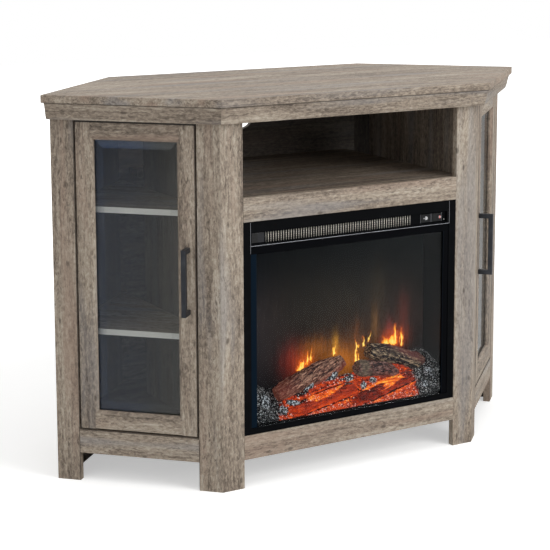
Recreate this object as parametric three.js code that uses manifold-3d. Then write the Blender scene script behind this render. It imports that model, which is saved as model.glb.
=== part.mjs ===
import * as THREE from "three";
import { mergeVertices } from "three/addons/utils/BufferGeometryUtils.js";
import Module from "manifold-3d";

// A corner cabinet with two glazed doors, an open media bay and an electric fire.
// Millimetres, +Z up, +X to the viewer's right and +Y to the back. The origin lies on the
// floor under the middle of the top. The doors stand on side planes that turn back from
// the front: along such a plane, t runs outwards from the front corner and n inwards.

const wasm = await Module();
wasm.setup();

// Whole cabinet
const cabinetHeight = 812.8;
const bodyDepth = 503;
const frontOpening = 528;
const doorWidth = 254.3;
const sideTurn = Math.PI / 4;
const fitGap = 0.3;
const overrun = 5;
const weldTolerance = 0.001;

// Boards
const postFace = 50.8;
const postThick = 16;
const panelThick = 15;
const shelfThick = 12;
const backThick = 12;
const edgeEase = 0.8;
const easeSteps = 2;
const railFloorGap = 60;
const lowerRailHeight = 51;
const middleRailTop = 607.3;
const middleRailHeight = 49.8;
const dividerReveal = 24;
const dividerDepth = 369;
const shelfSetback = 30;
const lowerShelfTop = 321;
const upperShelfTop = 578.5;
const pinRadius = 2.5;
const pinLength = 8;
const pinSides = 8;
const pinPlaceShares = [0.16, 0.78];
const cableHoleRadius = 35;
const cableHoleDrop = 86.3;
const leadNotchWidth = 60;
const leadNotchRise = 45;
const leadNotchPlace = 180;
const holeSides = 32;

// Top slab and crown moulding
const topThick = 16.5;
const topEase = 1.2;
const topOverhang = 31.75;
const topWallOverhang = 5;
const topBackOverhang = 1;
const crownHeight = 34.3;
const crownInset = 3.5;
const crownNose = 17;
const crownSteps = 7;
const crownLowerShares = [0.52, 0.24];
const crownUpperShares = [0.45, 0.7];

// Doors
const doorThick = 18;
const doorSideGap = 3;
const doorFootGap = 3.7;
const doorHeadGap = 2.2;
const stileWidth = 38.4;
const doorRailWidth = 39;
const bevelWidth = 6;
const bevelDepth = 5;
const rabbetWidth = 8;
const rabbetDepth = 9;
const doorGlassThick = 4;
const glassBevelWidth = 20;
const glassBevelDepth = 1.6;
const handleLength = 138;
const handleBar = 10;
const handleReach = 32;
const handleInset = 16.2;
const handleHeight = 440;
const handleEase = 0.8;

// Concealed hinges and catches
const hingeEndInset = 90;
const cupRadius = 11;
const cupDepth = 9.5;
const cupWall = 1;
const cupEdgeInset = 16;
const cupSides = 20;
const cupFlangeHeight = 44;
const cupFlangeWidth = 23;
const cupFlangeThick = 1.2;
const knuckleWidth = 8;
const knuckleHeight = 9;
const knuckleReach = 5;
const armThick = 2.4;
const armHeight = 14;
const armPlateWidth = 32;
const armPlateHeight = 42;
const catchHeight = 40;
const catchDepth = 13;
const catchBase = 27;
const catchReach = 18;
const catchStandoff = 2.4;

// Fire: frame, glass and controls
const fireInset = 1.5;
const fireFrameDepth = 14;
const fireSideBorder = 17.5;
const fireFootBorder = 13;
const fireHeadBorder = 53;
const fireGlassThick = 4;
const fireGlassInset = 1.5;
const lipSide = 5;
const lipFoot = 2;
const lipHead = 17;
const slotHeadBorder = 23.5;
const slotHeight = 24;
const slotLeftInset = 2.5;
const slotRightInset = 5.5;
const slotDepth = 5;
const displayWidth = 32;
const displayMargin = 1.5;
const displayDepth = 2;
const ventMargin = 28;
const ventRim = 2.5;
const ventThick = 1.5;
const ventPitch = 8;
const ventRows = 2;
const ventWire = 1.4;
const rockerWidth = 22.6;
const rockerHeight = 17;
const rockerSideClearance = 1.3;
const rockerPitch = 29;
const rockerEndInset = 24;
const rockerProud = 2.2;
const rockerDip = 1.6;
const rockerDepth = 8;
const rockerBackShare = 0.7;
const rockerPivotDepth = 4;
const rockerTilt = THREE.MathUtils.degToRad(6);

// Fire: housing, screen and log set
const housingSideClearance = 4;
const housingHeadClearance = 5;
const housingDepth = 170;
const sheet = 1.5;
const heaterDrop = 11.2;
const heaterLouvres = 8;
const louvreWidth = 34;
const louvreHeight = 5;
const louvrePitch = 52;
const screenThick = 3;
const screenPlace = 96;
const bedColumns = 44;
const bedRows = 8;
const bedEdge = 9;
const bedRise = 46;
const bedGrain = 2;
const leftHeapHeight = 50;
const rightHeapHeight = 36;
const heapPlaceShares = [-0.93, 0.98];
const heapWidthShare = 0.17;
const heapFrontShare = 0.35;
const logSides = 12;
const logRings = 10;
const leftLogRadius = 19;
const centerLogRadius = 14;
const rightLogRadius = 20;
const frontLogRadius = 14;
const charredLogRadius = 12;
const logTaperShare = 0.25;
const logBowShare = 0.25;
const logRidgeShare = 0.07;
const logKnotShare = 0.06;

// Fire: flame spindle and blower
const spindleRadius = 3;
const spindleRise = 40;
const spindleSides = 12;
const spindleBoss = 8;
const flagRadius = 21;
const flagThick = 1;
const flagCount = 9;
const flagLengthShare = 0.82;
const flagClearance = 12;
const flagEndGap = 3;
const motorRadius = 17;
const motorLength = 24;
const motorSides = 24;
const wheelRadius = 16;
const wheelBlades = 18;
const wheelDisc = 1.6;
const wheelEndGap = 2;
const bladeChord = 7;
const bladeThick = 1.1;
const bladeCurveShare = 0.25;
const bladeTurn = THREE.MathUtils.degToRad(28);
const shaftProud = 3;
const ductWall = 1.2;
const ductClearance = 4;
const ductPlace = 42;
const ductIntake = 16;
const ductFoot = 14;
const blowerMotorLength = 28;
const blowerMotorRadius = 14;

// Heights and places that follow
const cosTurn = Math.cos(sideTurn);
const sinTurn = Math.sin(sideTurn);
const slabFoot = cabinetHeight - topThick;
const crownFoot = slabFoot - crownHeight;
const deckTop = railFloorGap + lowerRailHeight;
const deckFoot = deckTop - panelThick;
const middleRailFoot = middleRailTop - middleRailHeight;
const cornerHalf = frontOpening / 2 + postFace;
const sideRun = 2 * postFace + 2 * doorSideGap + doorWidth;
const boardBack = postThick + fitGap;
const wallInner = sideRun - panelThick;
const dividerInner = frontOpening / 2 + dividerReveal;
const dividerOuter = dividerInner + panelThick;
const backInner = bodyDepth - backThick;
const midDepth = (bodyDepth + topBackOverhang - topOverhang) / 2;
const doorStart = postFace + doorSideGap;
const doorEnd = doorStart + doorWidth;
const doorFoot = deckTop + doorFootGap;
const doorHead = crownFoot - doorHeadGap;
const bothSides = { left: -1, right: 1 };

// Finishes, one new material for each piece
const finishes = {
  oak: { color: 0x9c8f80, roughness: 0.7, metalness: 0 },
  darkOak: { color: 0x6f655a, roughness: 0.8, metalness: 0 },
  doorGlass: { color: 0x3a444c, roughness: 0.08, metalness: 0, transparent: true, opacity: 0.45 },
  iron: { color: 0x2b2d33, roughness: 0.4, metalness: 0.6 },
  nickel: { color: 0xb4b4b2, roughness: 0.3, metalness: 0.9 },
  blackSteel: { color: 0x141519, roughness: 0.45, metalness: 0.3 },
  fireGlass: { color: 0x1c2228, roughness: 0.05, metalness: 0, transparent: true, opacity: 0.35 },
  wire: { color: 0x9a9892, roughness: 0.35, metalness: 0.8 },
  blackPlastic: { color: 0x18181b, roughness: 0.4, metalness: 0 },
  ember: { color: 0x8c3c22, roughness: 0.85, metalness: 0 },
  bark: { color: 0x6b554a, roughness: 0.9, metalness: 0 },
  screen: { color: 0x34383c, roughness: 0.3, metalness: 0 },
  steel: { color: 0x8e9094, roughness: 0.45, metalness: 0.7 },
};

function piece(parent, name, finish, geometry) {
  const mesh = new THREE.Mesh(geometry, new THREE.MeshStandardMaterial(finishes[finish]));
  mesh.name = name;
  parent.add(mesh);
  return mesh;
}

// Solids for joining and cutting
function solidFrom(geometry) {
  const bare = geometry.index ? geometry.toNonIndexed() : geometry.clone();
  bare.deleteAttribute("normal");
  bare.deleteAttribute("uv");
  const merged = mergeVertices(bare, weldTolerance);
  const vertProperties = merged.attributes.position.array;
  const triVerts = new Uint32Array(merged.index.array);
  return new wasm.Manifold(new wasm.Mesh({ numProp: 3, vertProperties, triVerts }));
}

function geometryFrom(solid) {
  const mesh = solid.getMesh();
  const geometry = new THREE.BufferGeometry();
  geometry.setAttribute("position", new THREE.BufferAttribute(mesh.vertProperties, mesh.numProp));
  geometry.setIndex(new THREE.BufferAttribute(mesh.triVerts, 1));
  geometry.computeVertexNormals();
  return geometry;
}

function joined(first, ...others) {
  return geometryFrom(others.reduce((sum, next) => sum.add(solidFrom(next)), solidFrom(first)));
}

function cut(first, ...tools) {
  return geometryFrom(tools.reduce((rest, tool) => rest.subtract(solidFrom(tool)), solidFrom(first)));
}

// Turns a hand-made mesh's faces outwards, whichever way its rings were walked.
function facingOut(positions, triangles) {
  const corner = (i) => new THREE.Vector3().fromArray(positions, 3 * i);
  let volume = 0;
  for (let i = 0; i < triangles.length; i += 3) {
    const [a, b, c] = [0, 1, 2].map((k) => corner(triangles[i + k]));
    volume += a.dot(b.cross(c));
  }
  const geometry = new THREE.BufferGeometry();
  geometry.setAttribute("position", new THREE.Float32BufferAttribute(positions, 3));
  geometry.setIndex(volume < 0 ? triangles.reverse() : triangles);
  geometry.computeVertexNormals();
  return geometry;
}

// Shapes
const axisBases = {
  x: [new THREE.Vector3(0, 1, 0), new THREE.Vector3(0, 0, 1), new THREE.Vector3(1, 0, 0)],
  y: [new THREE.Vector3(0, 0, 1), new THREE.Vector3(1, 0, 0), new THREE.Vector3(0, 1, 0)],
  z: [new THREE.Vector3(1, 0, 0), new THREE.Vector3(0, 1, 0), new THREE.Vector3(0, 0, 1)],
};

// An outline swept straight along an axis between two places, with its end edges eased if
// asked. The outline's first coordinate is the next axis in the order x, y, z, x.
function sweep(outline, along, [from, to], holes = [], ease = 0) {
  const shape = new THREE.Shape(outline);
  shape.holes = holes.map((hole) => new THREE.Path(hole));
  const geometry = new THREE.ExtrudeGeometry(shape, {
    depth: to - from - 2 * ease,
    bevelEnabled: ease > 0,
    bevelThickness: ease,
    bevelSize: ease,
    bevelOffset: -ease,
    bevelSegments: easeSteps,
  });
  geometry.translate(0, 0, from + ease);
  return geometry.applyMatrix4(new THREE.Matrix4().makeBasis(...axisBases[along]));
}

function rectangle([u0, u1], [v0, v1]) {
  return [
    new THREE.Vector2(u0, v0),
    new THREE.Vector2(u1, v0),
    new THREE.Vector2(u1, v1),
    new THREE.Vector2(u0, v1),
  ];
}

function easedRectangle([u0, u1], [v0, v1], ease) {
  return [
    new THREE.Vector2(u0 + ease, v0),
    new THREE.Vector2(u1 - ease, v0),
    new THREE.Vector2(u1, v0 + ease),
    new THREE.Vector2(u1, v1 - ease),
    new THREE.Vector2(u1 - ease, v1),
    new THREE.Vector2(u0 + ease, v1),
    new THREE.Vector2(u0, v1 - ease),
    new THREE.Vector2(u0, v0 + ease),
  ];
}

// A board between three spans, its long edges eased along the named axis.
function board(x, y, z, along, ease = edgeEase) {
  const across = { x: [y, z], y: [z, x], z: [x, y] }[along];
  const run = { x, y, z }[along];
  return sweep(easedRectangle(...across, ease), along, run);
}

function block(x, y, z) {
  return sweep(rectangle(x, y), "z", z);
}

function rod(along, [u, v], radius, span, sides) {
  const outline = Array.from({ length: sides }, (_, i) => {
    const turn = (2 * Math.PI * (i + 0.5)) / sides;
    return new THREE.Vector2(u + radius * Math.cos(turn), v + radius * Math.sin(turn));
  });
  return sweep(outline, along, span);
}

// A span along t, or an outline over t and n, on the left or the right side plane.
function spanOn(side, [from, to]) {
  return side > 0 ? [from, to] : [-to, -from];
}

function outlineOn(side, points) {
  return points.map(([t, n]) => new THREE.Vector2(side * t, n));
}

function sidePlane(parent, side) {
  const plane = new THREE.Group();
  plane.position.set(side * cornerHalf, 0, 0);
  plane.rotation.z = side * sideTurn;
  parent.add(plane);
  return plane;
}

// Where a place on a side plane lies in plan.
function planPoint(side, t, n) {
  return new THREE.Vector2(
    side * (cornerHalf + t * cosTurn - n * sinTurn),
    t * sinTurn + n * cosTurn,
  );
}

// The cabinet's plan, each edge moved outwards by its own amount. The walls stand square
// to the side planes, so an offset there adds to t.
function planOutline({ front, side, wall, back }) {
  const end = sideRun + wall;
  const rightHalf = [
    planPoint(1, (side * cosTurn - front) / sinTurn, -side),
    planPoint(1, end, -side),
    planPoint(1, end, runBack(end, bodyDepth + back)),
  ];
  const leftHalf = rightHalf.map((p) => new THREE.Vector2(-p.x, p.y)).reverse();
  return [...rightHalf, ...leftHalf];
}

// How far inwards a line of constant t runs before it reaches a depth of the cabinet.
function runBack(t, depth) {
  return (depth - t * sinTurn) / cosTurn;
}

// Cuts every corner of an outline back by a small ease.
function easeCorners(points, ease) {
  return points.flatMap((point, i) => {
    const before = points[(i + points.length - 1) % points.length];
    const after = points[(i + 1) % points.length];
    return [before, after].map((other) => {
      const way = other.clone().sub(point).setLength(ease);
      return point.clone().add(way);
    });
  });
}

// A skin over a row of rings with equally many points, closed by a fan to each end's
// middle, or by the given triangles where the ends are not star shaped.
function loft(rings, endFaces) {
  const sides = rings[0].length;
  const points = rings.flat();
  const triangles = [];
  for (let ring = 0; ring + 1 < rings.length; ring++) {
    for (let i = 0; i < sides; i++) {
      const a = ring * sides + i;
      const b = ring * sides + ((i + 1) % sides);
      triangles.push(a, b, b + sides, a, b + sides, a + sides);
    }
  }
  const last = (rings.length - 1) * sides;
  if (endFaces) {
    for (const [a, b, c] of endFaces) {
      triangles.push(a, c, b, last + a, last + b, last + c);
    }
  } else {
    for (const [first, turned] of [[0, true], [last, false]]) {
      const ring = points.slice(first, first + sides);
      const middle = ring.reduce((sum, p) => sum.add(p), new THREE.Vector3()).divideScalar(sides);
      const hub = points.push(middle) - 1;
      for (let i = 0; i < sides; i++) {
        const pair = [first + i, first + ((i + 1) % sides)];
        triangles.push(hub, ...(turned ? pair.reverse() : pair));
      }
    }
  }
  return facingOut(points.flatMap((p) => p.toArray()), triangles);
}

const stand = new THREE.Group();
stand.position.y = -midDepth;

// Top slab
const slabPlan = planOutline({
  front: topOverhang,
  side: topOverhang,
  wall: topWallOverhang,
  back: topBackOverhang,
});
piece(stand, "top_slab", "oak", sweep(slabPlan, "z", [slabFoot, cabinetHeight], [], topEase));

// Crown moulding: an ogee that leans in from the slab to the nose above the doors. It is
// thick enough to serve as the top rail, and its runs meet in mitres at the front corners.
function crownProfile() {
  const lean = topOverhang - crownInset - crownNose;
  const place = ([outShare, upShare]) =>
    new THREE.Vector2(crownNose + outShare * lean, crownFoot + upShare * crownHeight);
  const ogee = new THREE.CubicBezierCurve(
    place([0, 0]),
    place(crownLowerShares),
    place(crownUpperShares),
    new THREE.Vector2(crownNose + lean, slabFoot - fitGap),
  );
  return [
    new THREE.Vector2(-postThick, crownFoot),
    ...ogee.getPoints(crownSteps),
    new THREE.Vector2(-postThick, slabFoot - fitGap),
  ];
}

function crownRun(side, start, end) {
  const profile = crownProfile();
  const ring = (place) => profile.map((p) => new THREE.Vector3(side * place(p.x), -p.x, p.y));
  return loft([ring(start), ring(end)], THREE.ShapeUtils.triangulateShape(profile, []));
}

const mitre = (out) => out * Math.tan(sideTurn / 2) - fitGap / 2;
const frontCrown = crownRun(
  1,
  (out) => -cornerHalf - mitre(out),
  (out) => cornerHalf + mitre(out),
);
piece(stand, "front_crown", "oak", frontCrown);

// Front rails, deck, media shelf and back panel
const railSpan = [-frontOpening / 2 + fitGap, frontOpening / 2 - fitGap];
const faceSpan = [0, postThick];
const frontLowerRail = board(railSpan, faceSpan, [railFloorGap, deckTop], "x");
piece(stand, "front_lower_rail", "oak", frontLowerRail);
const frontMiddleRail = board(railSpan, faceSpan, [middleRailFoot, middleRailTop], "x");
piece(stand, "front_middle_rail", "oak", frontMiddleRail);

const deckPlan = planOutline({
  front: -boardBack,
  side: -boardBack,
  wall: -panelThick - fitGap,
  back: -backThick - fitGap,
});
piece(stand, "bottom_deck", "oak", sweep(deckPlan, "z", [deckFoot, deckTop]));

const mediaShelf = block(
  [-dividerInner + fitGap, dividerInner - fitGap],
  [boardBack, backInner - fitGap],
  [middleRailTop - panelThick, middleRailTop],
);
piece(stand, "media_shelf", "oak", mediaShelf);

// The back panel fills the width between the wall panels, so its ends lean with them. A
// hole passes the cables of the media bay, and a notch over the deck the fire's lead.
function backPanel() {
  const inside = wallInner - fitGap;
  const right = [backInner, bodyDepth].map((depth) => planPoint(1, inside, runBack(inside, depth)));
  const left = right.map((p) => new THREE.Vector2(-p.x, p.y)).reverse();
  const panel = sweep([...right, ...left], "z", [deckFoot, slabFoot - fitGap]);
  const through = [backInner - overrun, bodyDepth + overrun];
  const cableHole = rod("y", [slabFoot - cableHoleDrop, 0], cableHoleRadius, through, holeSides);
  const upright = [deckFoot - overrun, deckTop + leadNotchRise];
  const leadNotch = block(around(leadNotchPlace, leadNotchWidth), through, upright);
  return cut(panel, cableHole, leadNotch);
}
piece(stand, "back_panel", "darkOak", backPanel());

// Front posts: two faces in one angled board, from the floor to the crown
function frontPost(side) {
  const innerCorner = (postThick * (1 - cosTurn)) / sinTurn;
  const outline = [
    new THREE.Vector2((side * frontOpening) / 2, 0),
    new THREE.Vector2(side * cornerHalf, 0),
    planPoint(side, postFace, 0),
    planPoint(side, postFace, postThick),
    planPoint(side, innerCorner, postThick),
    new THREE.Vector2((side * frontOpening) / 2, postThick),
  ];
  return sweep(easeCorners(outline, edgeEase), "z", [0, crownFoot - fitGap]);
}

// Shelf pins stand out of a panel, one row of two under each cabinet shelf.
const shelfTops = [lowerShelfTop, upperShelfTop];

function shelfPins([from, to], span) {
  return shelfTops.flatMap((top) =>
    pinPlaceShares.map((share) => {
      const place = [from + share * (to - from), top - shelfThick - fitGap - pinRadius];
      return rod("x", place, pinRadius, span, pinSides);
    }),
  );
}

const shelfInner = dividerOuter + fitGap;
const shelfOuter = wallInner - fitGap;
const shelfStart = (shelfInner - cornerHalf + shelfSetback * sinTurn) / cosTurn;

// A shelf fills the corner between the wall panel and the back, up to the divider's line.
function cabinetShelf(side, top) {
  const rear = backInner - fitGap;
  const corner = sweep(
    [
      new THREE.Vector2(0, shelfSetback * cosTurn + shelfStart * sinTurn),
      planPoint(side, shelfStart, shelfSetback),
      planPoint(side, shelfOuter, shelfSetback),
      planPoint(side, shelfOuter, runBack(shelfOuter, rear)),
      new THREE.Vector2(0, rear),
    ],
    "z",
    [top - shelfThick, top],
  );
  const upright = [top - shelfThick - overrun, top + overrun];
  const beside = block(spanOn(side, [-overrun, shelfInner]), [0, bodyDepth], upright);
  return cut(corner, beside);
}

// The divider beside the media bay and the fire stops short of the back panel, which
// leaves a way for cables into the side cabinets.
function divider(side) {
  const upright = [deckTop + fitGap, slabFoot - fitGap];
  const depth = [boardBack, boardBack + dividerDepth];
  const panel = board(spanOn(side, [dividerInner, dividerOuter]), depth, upright, "z");
  const pins = shelfPins(
    [planPoint(side, shelfStart, shelfSetback).y, boardBack + dividerDepth],
    spanOn(side, [dividerOuter - panelThick / 2, dividerOuter + pinLength]),
  );
  return joined(panel, ...pins);
}

function wallPanel(side) {
  const outline = outlineOn(side, [
    [wallInner, boardBack],
    [sideRun, boardBack],
    [sideRun, runBack(sideRun, bodyDepth)],
    [wallInner, runBack(wallInner, bodyDepth)],
  ]);
  const panel = sweep(outline, "z", [0, slabFoot - fitGap]);
  const pins = shelfPins(
    [shelfSetback, runBack(shelfOuter, backInner)],
    spanOn(side, [wallInner - pinLength, wallInner + panelThick / 2]),
  );
  return joined(panel, ...pins);
}

// Doors: coped frame round a bevelled pane
function memberOutline(edge, inward, width) {
  return [
    [edge + inward * edgeEase, 0],
    [edge + inward * (width - bevelWidth), 0],
    [edge + inward * width, bevelDepth],
    [edge + inward * width, doorThick - rabbetDepth],
    [edge + inward * (width - rabbetWidth), doorThick - rabbetDepth],
    [edge + inward * (width - rabbetWidth), doorThick],
    [edge, doorThick],
    [edge, edgeEase],
  ];
}

function stile(side, edge, inward, upright = [doorFoot, doorHead]) {
  return sweep(outlineOn(side, memberOutline(edge, inward, stileWidth)), "z", upright);
}

const shoulder = stileWidth - rabbetWidth + fitGap;
const railShoulder = doorRailWidth - rabbetWidth + fitGap;

function doorRail(side, edge, inward) {
  const outline = memberOutline(edge, inward, doorRailWidth).map(([z, n]) => new THREE.Vector2(n, z));
  const rail = sweep(outline, "x", spanOn(side, [doorStart + shoulder, doorEnd - shoulder]));
  const past = [doorFoot - overrun, doorHead + overrun];
  return cut(rail, stile(side, doorStart + fitGap, 1, past), stile(side, doorEnd - fitGap, -1, past));
}

function doorPane(side) {
  const face = doorThick - rabbetDepth + fitGap;
  const ring = (inset, n) => {
    const [t0, t1] = [doorStart + shoulder + inset, doorEnd - shoulder - inset];
    const [z0, z1] = [doorFoot + railShoulder + inset, doorHead - railShoulder - inset];
    return rectangle([side * t0, side * t1], [z0, z1]).map((p) => new THREE.Vector3(p.x, n, p.y));
  };
  return loft([
    ring(glassBevelWidth, face),
    ring(0, face + glassBevelDepth),
    ring(0, face + doorGlassThick),
  ]);
}

function barHandle(side) {
  const [foot, head] = [handleHeight - handleLength / 2, handleHeight + handleLength / 2];
  const outline = [
    new THREE.Vector2(-fitGap, foot),
    new THREE.Vector2(-fitGap, foot + handleBar),
    new THREE.Vector2(-handleReach + handleBar, foot + handleBar),
    new THREE.Vector2(-handleReach + handleBar, head - handleBar),
    new THREE.Vector2(-fitGap, head - handleBar),
    new THREE.Vector2(-fitGap, head),
    new THREE.Vector2(-handleReach, head),
    new THREE.Vector2(-handleReach, foot),
  ];
  const middle = doorStart + handleInset;
  const across = spanOn(side, [middle - handleBar / 2, middle + handleBar / 2]);
  return sweep(outline, "x", across, [], handleEase);
}

// Concealed hinges: a cup in the door's back with a knuckle, and an arm on the far post
// that reaches over the knuckle.
const cupPlace = doorEnd - cupEdgeInset;
const hingeHeights = { lower: doorFoot + hingeEndInset, upper: doorHead - hingeEndInset };

function around(middle, width) {
  return [middle - width / 2, middle + width / 2];
}

function hingeCup(side, height) {
  const floor = doorThick - cupDepth;
  const face = doorThick + fitGap;
  const flange = board(
    spanOn(side, around(cupPlace, cupFlangeWidth)),
    [face, face + cupFlangeThick],
    around(height, cupFlangeHeight),
    "y",
  );
  const centre = [height, side * cupPlace];
  const cup = rod("y", centre, cupRadius, [floor, face + cupFlangeThick], cupSides);
  const hollow = rod("y", centre, cupRadius - cupWall, [floor + cupWall, face + overrun], cupSides);
  const knuckle = block(
    spanOn(side, around(cupPlace, knuckleWidth)),
    [floor + cupWall / 2, doorThick + knuckleReach],
    around(height, knuckleHeight),
  );
  return joined(cut(joined(cup, flange), hollow), knuckle);
}

function cupBore(side, height) {
  const span = [doorThick - cupDepth - fitGap, doorThick + overrun];
  return rod("y", [height, side * cupPlace], cupRadius + fitGap, span, cupSides);
}

function hingeArm(side, height) {
  const root = sideRun - postFace + fitGap;
  const face = doorThick + knuckleReach + fitGap;
  const tip = cupPlace - knuckleWidth / 2;
  const arm = outlineOn(side, [
    [root, boardBack],
    [root + armPlateWidth, boardBack],
    [root + armPlateWidth, boardBack + armThick],
    [root + armThick, boardBack + armThick],
    [root + armThick, face + armThick],
    [tip, face + armThick],
    [tip, face],
    [root, face],
  ]);
  const plate = block(
    spanOn(side, [root, root + armPlateWidth]),
    [boardBack, boardBack + armThick],
    around(height, armPlateHeight),
  );
  return joined(sweep(arm, "z", around(height, armHeight)), plate);
}

// The magnetic catch sits on the back of the front post and reaches behind the door.
function magneticCatch(side) {
  const face = doorThick + catchStandoff;
  const outline = outlineOn(side, [
    [postFace - catchBase, boardBack],
    [postFace, boardBack],
    [postFace, face],
    [postFace + catchReach, face],
    [postFace + catchReach, face + catchDepth],
    [postFace - catchBase, face + catchDepth],
  ]);
  return sweep(outline, "z", around(handleHeight, catchHeight));
}

for (const [name, side] of Object.entries(bothSides)) {
  const plane = sidePlane(stand, side);
  const add = (part, finish, geometry) => piece(plane, `${name}_${part}`, finish, geometry);

  piece(stand, `${name}_front_post`, "oak", frontPost(side));
  piece(stand, `${name}_divider`, "oak", divider(side));
  piece(stand, `${name}_lower_shelf`, "oak", cabinetShelf(side, lowerShelfTop));
  piece(stand, `${name}_upper_shelf`, "oak", cabinetShelf(side, upperShelfTop));

  add("crown", "oak", crownRun(side, (out) => -mitre(out), () => sideRun));
  const farPost = [sideRun - postFace, sideRun];
  add("far_post", "oak", board(spanOn(side, farPost), faceSpan, [0, crownFoot - fitGap], "z"));
  const lowerRail = spanOn(side, [postFace + fitGap, sideRun - postFace - fitGap]);
  add("lower_rail", "oak", board(lowerRail, faceSpan, [railFloorGap, deckTop], "x"));
  add("wall_panel", "oak", wallPanel(side));
  add("catch", "blackPlastic", magneticCatch(side));

  const bores = Object.values(hingeHeights).map((height) => cupBore(side, height));
  add("door_hinge_stile", "oak", cut(stile(side, doorEnd, -1), ...bores));
  add("door_handle_stile", "oak", stile(side, doorStart, 1));
  add("door_top_rail", "oak", doorRail(side, doorHead, -1));
  add("door_bottom_rail", "oak", doorRail(side, doorFoot, 1));
  add("door_glass", "doorGlass", doorPane(side));
  add("handle", "iron", barHandle(side));
  for (const [level, height] of Object.entries(hingeHeights)) {
    add(`${level}_hinge_cup`, "nickel", hingeCup(side, height));
    add(`${level}_hinge_arm`, "nickel", hingeArm(side, height));
  }
}

// Fire frame: a pocket for the glass, and a slot with the vent, a receiver window and
// two rocker switches
const fireBack = fireInset + fireFrameDepth;
const windowHalf = frontOpening / 2 - fireSideBorder;
const windowFoot = deckTop + fireFootBorder;
const windowHead = middleRailFoot - fireHeadBorder;
const slotHead = middleRailFoot - slotHeadBorder;
const slotFoot = slotHead - slotHeight;
const slotMiddle = (slotHead + slotFoot) / 2;
const slotLeft = -windowHalf + slotLeftInset;
const slotRight = windowHalf - slotRightInset;
const slotFloor = fireInset + slotDepth;
const rockerPlaces = {
  heat_switch: slotRight - rockerEndInset - rockerPitch,
  power_switch: slotRight - rockerEndInset,
};
const rockerHole = rockerWidth + 2 * rockerSideClearance;
const ventLeft = slotLeft + displayWidth + displayMargin;
const ventRight = rockerPlaces.heat_switch - rockerHole / 2 - ventMargin;
const glassFace = fireInset + fireGlassInset;

function fireFrame() {
  const frame = board(
    railSpan,
    [fireInset, fireBack],
    [deckTop + fitGap, middleRailFoot - fitGap],
    "x",
  );
  const through = [fireInset - overrun, fireBack + overrun];
  const inTo = (floor) => [fireInset - overrun, floor];
  const rockerHoles = Object.values(rockerPlaces).map((x) =>
    block(around(x, rockerHole), through, around(slotMiddle, rockerHeight + 2 * fitGap)),
  );
  return cut(
    frame,
    block([-windowHalf, windowHalf], inTo(glassFace + fireGlassThick + fitGap), [windowFoot, windowHead]),
    block(
      [-windowHalf + lipSide, windowHalf - lipSide],
      through,
      [windowFoot + lipFoot, windowHead - lipHead],
    ),
    block([slotLeft, slotRight], inTo(slotFloor), [slotFoot, slotHead]),
    block(
      [slotLeft + displayMargin, slotLeft + displayWidth],
      inTo(slotFloor + displayDepth),
      [slotFoot + displayMargin, slotHead - displayMargin],
    ),
    block(
      [ventLeft + ventRim, ventRight - ventRim],
      through,
      [slotFoot + ventRim, slotHead - ventRim],
    ),
    ...rockerHoles,
  );
}
piece(stand, "fire_frame", "blackSteel", fireFrame());

const fireGlass = board(
  [-windowHalf + fitGap, windowHalf - fitGap],
  [glassFace, glassFace + fireGlassThick],
  [windowFoot + fitGap, windowHead - fitGap],
  "x",
  edgeEase / 2,
);
piece(stand, "fire_glass", "fireGlass", fireGlass);

// The vent grille is one plate of upright wires crossed by a few level ones.
function ventGrille() {
  const [left, right] = [ventLeft + fitGap, ventRight - fitGap];
  const [foot, head] = [slotFoot + fitGap, slotHead - fitGap];
  const back = slotFloor - fitGap;
  const columns = Math.round((right - left - ventWire) / ventPitch);
  const columnStep = (right - left - ventWire) / columns;
  const rowStep = (head - foot - ventWire) / ventRows;
  const through = [back - ventThick - overrun, back + overrun];
  const gaps = [];
  for (let column = 0; column < columns; column++) {
    for (let row = 0; row < ventRows; row++) {
      const x = left + ventWire + column * columnStep;
      const z = foot + ventWire + row * rowStep;
      gaps.push(block([x, x + columnStep - ventWire], through, [z, z + rowStep - ventWire]));
    }
  }
  return cut(block([left, right], [back - ventThick, back], [foot, head]), ...gaps);
}
piece(stand, "vent_grille", "wire", ventGrille());

// Rocker switches tilt about an upright pivot and rest with the left end pressed in.
const rockerHalf = rockerWidth / 2;
const rockerFace = -rockerPivotDepth - rockerProud;
const rockerOutline = [
  new THREE.Vector2(-rockerHalf, rockerFace),
  new THREE.Vector2(0, rockerFace + rockerDip),
  new THREE.Vector2(rockerHalf, rockerFace),
  new THREE.Vector2(rockerHalf, 0),
  new THREE.Vector2(rockerHalf * rockerBackShare, rockerDepth - rockerPivotDepth),
  new THREE.Vector2(-rockerHalf * rockerBackShare, rockerDepth - rockerPivotDepth),
  new THREE.Vector2(-rockerHalf, 0),
];
for (const [name, x] of Object.entries(rockerPlaces)) {
  const span = [-rockerHeight / 2, rockerHeight / 2];
  const rocker = piece(stand, name, "blackPlastic", sweep(rockerOutline, "z", span));
  rocker.position.set(x, slotFloor + rockerPivotDepth, slotMiddle);
  rocker.rotation.z = -rockerTilt;
}

// Housing: folded sheet, open to the front, with the heater's compartment on top
const housingFront = fireBack + fitGap;
const housingRear = housingFront + housingDepth;
const housingHalf = frontOpening / 2 - housingSideClearance;
const insideHalf = housingHalf - sheet;
const housingFoot = deckTop + fitGap;
const fireFloor = housingFoot + sheet;
const housingHead = middleRailFoot - housingHeadClearance;
const heaterFloor = slotFoot - heaterDrop;
const screenFront = housingFront + screenPlace;
const spindleDepth = screenFront + screenThick + flagRadius + flagClearance;
const spindleHeight = fireFloor + spindleRise;

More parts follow.
